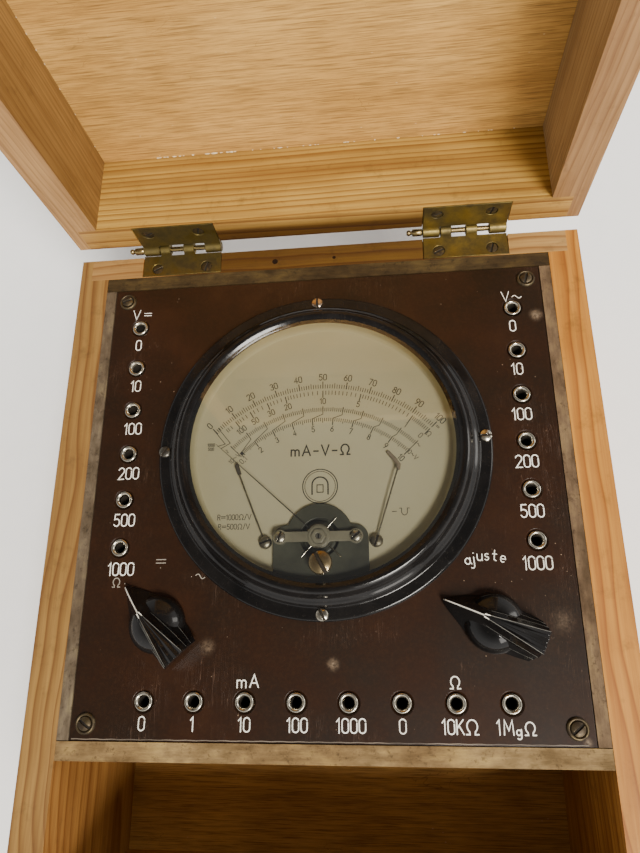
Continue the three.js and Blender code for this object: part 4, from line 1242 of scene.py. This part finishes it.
def build_hinge(side):
    low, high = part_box("hinge_case_leaf_" + side)
    x, length = low.x / MM, (high.x - low.x) / MM
    case_depth = (HINGE_AXIS.y - low.y) / MM - HINGE_OFFSET
    lid_depth = (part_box("hinge_lid_leaf_" + side)[1].z - RIM_Z) / MM - HINGE_OFFSET
    at_axis = Matrix.Translation(HINGE_AXIS)
    case_screws = [(x + 7.2, -10.6), (x + 31.6, -10.6)]
    lid_screws = [(x + 6.2, -12.6), (x + 30.6, -12.6)]
    face_front = Matrix.Rotation(math.radians(90), 4, "X")
    for name, depth, knuckles, screws, sign, place, body, facing in (
            ("case", case_depth, CASE_KNUCKLES, case_screws, -1, at_axis, "instrument", Matrix()),
            ("lid", lid_depth, LID_KNUCKLES, lid_screws, 1, at_axis @ LID_OPEN, "lid", face_front)):
        leaf = leaf_mesh(x, length, depth, knuckles, screws, sign)
        finish_piece(f"hinge_{name}_plate_{side}", leaf, MAT_BRASS_DARK, "old_brass", body,
                     [f"hinge_{name}_leaf_{side}"], place)
        for k, (along, reach) in enumerate(screws):
            spot = place @ (Vector((along, reach, sign * (LEAF_GAP + SUNK))) * MM)
            put_screw(f"hinge_{name}_screw_{side}_{k + 1}", Matrix.Translation(spot) @ facing, HINGE_SCREW,
                      0.6, 0.3, 25 + 50 * k, MAT_BRASS_DULL, "old_brass", body=body)
    pin = "hinge_pin_" + side
    finish_piece("hinge_loose_pin_" + side, pin_mesh(x, length), MAT_BRASS, "old_brass", pin, [pin], at_axis)


for side in ("left", "right"):
    build_hinge(side)


# ---- nails and dried glue

NAILS = [(-22.0, 137.2, 1.35), (6.5, 137.4, 0.8)]
# First and last corner, the stretch between them, how many beads, and the largest's size.
GLUE_RUNS = [("left", "right", 0.12, 0.34, 26, 0.85), ("left", "right", 0.34, 0.97, 26, 0.55),
             ("left", "top", 0.02, 0.80, 30, 0.45)]


def build_nails():
    bm = bmesh.new()
    for x, y, radius in NAILS:
        lathe(bm, [(0, 0.02), (radius, 0.02), (radius + 0.1, -0.1)], 14, shift(x, y, RIM_Z / MM))
    finish_piece("rim_nails", bm, MAT_RUST, "grey_metal")


def build_glue():
    """Small dried beads of glue along the joints of the lid's boards and its thin panel."""
    rng = random.Random(7)
    joint_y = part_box("lid_top_panel")[0].y - 0.1 * MM
    joint_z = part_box("lid_back_board")[1].z + 0.3 * MM
    left_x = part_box("lid_side_left")[1].x + 0.1 * MM
    right_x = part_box("lid_side_right")[0].x - 0.1 * MM
    corners = {"left": Vector((left_x, joint_y, joint_z)), "right": Vector((right_x, joint_y, joint_z)),
               "top": Vector((left_x, joint_y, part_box("lid_front_board")[0].z))}
    bm = bmesh.new()
    for start, end, first, last, count, largest in GLUE_RUNS:
        along = (corners[end] - corners[start]).normalized()
        for _ in range(count):
            middle = corners[start].lerp(corners[end], rng.uniform(first, last))
            size = rng.uniform(0.3, largest) * MM
            stretch = rng.uniform(0.8, 1.7)
            for v in bmesh.ops.create_icosphere(bm, subdivisions=2, radius=1.0)["verts"]:
                bulge = 1 + 0.35 * noise.noise(v.co * 1.7 + middle * 500)
                long_way = along * v.co.dot(along)
                v.co = middle + (long_way * stretch + (v.co - long_way) * 0.55) * size * bulge
    finish_piece("glue_beads", bm, MAT_GLUE, "plywood", "lid")


build_nails()
build_glue()


# ---- camera, light and floor

camera = add_to_scene("camera", bpy.data.cameras.new("camera"))
camera.data.lens = 27.46
camera.data.sensor_width = 36.0
camera.data.clip_start = 0.01
camera.location = Vector((29.6, -37.3, 360.1)) * MM
camera.rotation_euler = [math.radians(a) for a in (18.42, 6.43, -0.13)]
bpy.context.scene.camera = camera


def add_light(name, kind, power, tint, toward, place=(0, 0, 0)):
    """A light at a place in metres that shines toward a point."""
    light = add_to_scene(name, bpy.data.lights.new(name, kind))
    light.data.energy = power
    light.data.color = tint
    light.location = place
    light.rotation_euler = (Vector(toward) - Vector(place)).to_track_quat("-Z", "Y").to_euler()
    return light.data


add_light("key", "SUN", 5.1, (1.0, 0.955, 0.88), (-0.42, 0.60, -1.0)).angle = math.radians(20)
for name, power, tint, toward, place, size in (
        ("front", 3.5, (1.0, 0.95, 0.88), (0, 0.0, 0.1), (0.45, -0.8, 0.7), (0.35, 0.35)),
        ("side", 2.5, (1.0, 0.96, 0.90), (0, 0.05, 0.1), (0.9, 0.25, 0.5), (0.25, 0.5))):
    area = add_light(name, "AREA", power, tint, toward, place)
    area.shape = "RECTANGLE"
    area.size, area.size_y = size

# Bright all round and dim overhead, so that glossy black parts stay black from above.
sky = Shader("studio", bpy.data.worlds)
heading = sky.source["Generated"]
background = sky.tree.nodes["Background"].inputs
sky.feed(background["Color"], sky.ramp(sky.axes(heading)["Z"], (0.40, (0.95, 0.93, 0.90)),
                                       (0.80, (0.12, 0.115, 0.11))))
toward_window = sky.measure("DOT_PRODUCT", heading, (0.55, -0.75, 0.0))
sky.feed(background["Strength"], sky.range(toward_window, -0.9, 0.9, 0.80, 1.75))
bpy.context.scene.world = sky.owner

floor_bm = bmesh.new()
bmesh.ops.create_grid(floor_bm, x_segments=8, y_segments=8, size=3.0)
floor = add_to_scene("floor", to_mesh(floor_bm, "floor"))
floor.location.z = -0.0005
floor.data.materials.append(enamel("floor_paint", (0.94, 0.935, 0.92), (0.92, 0.915, 0.90), 0.8))
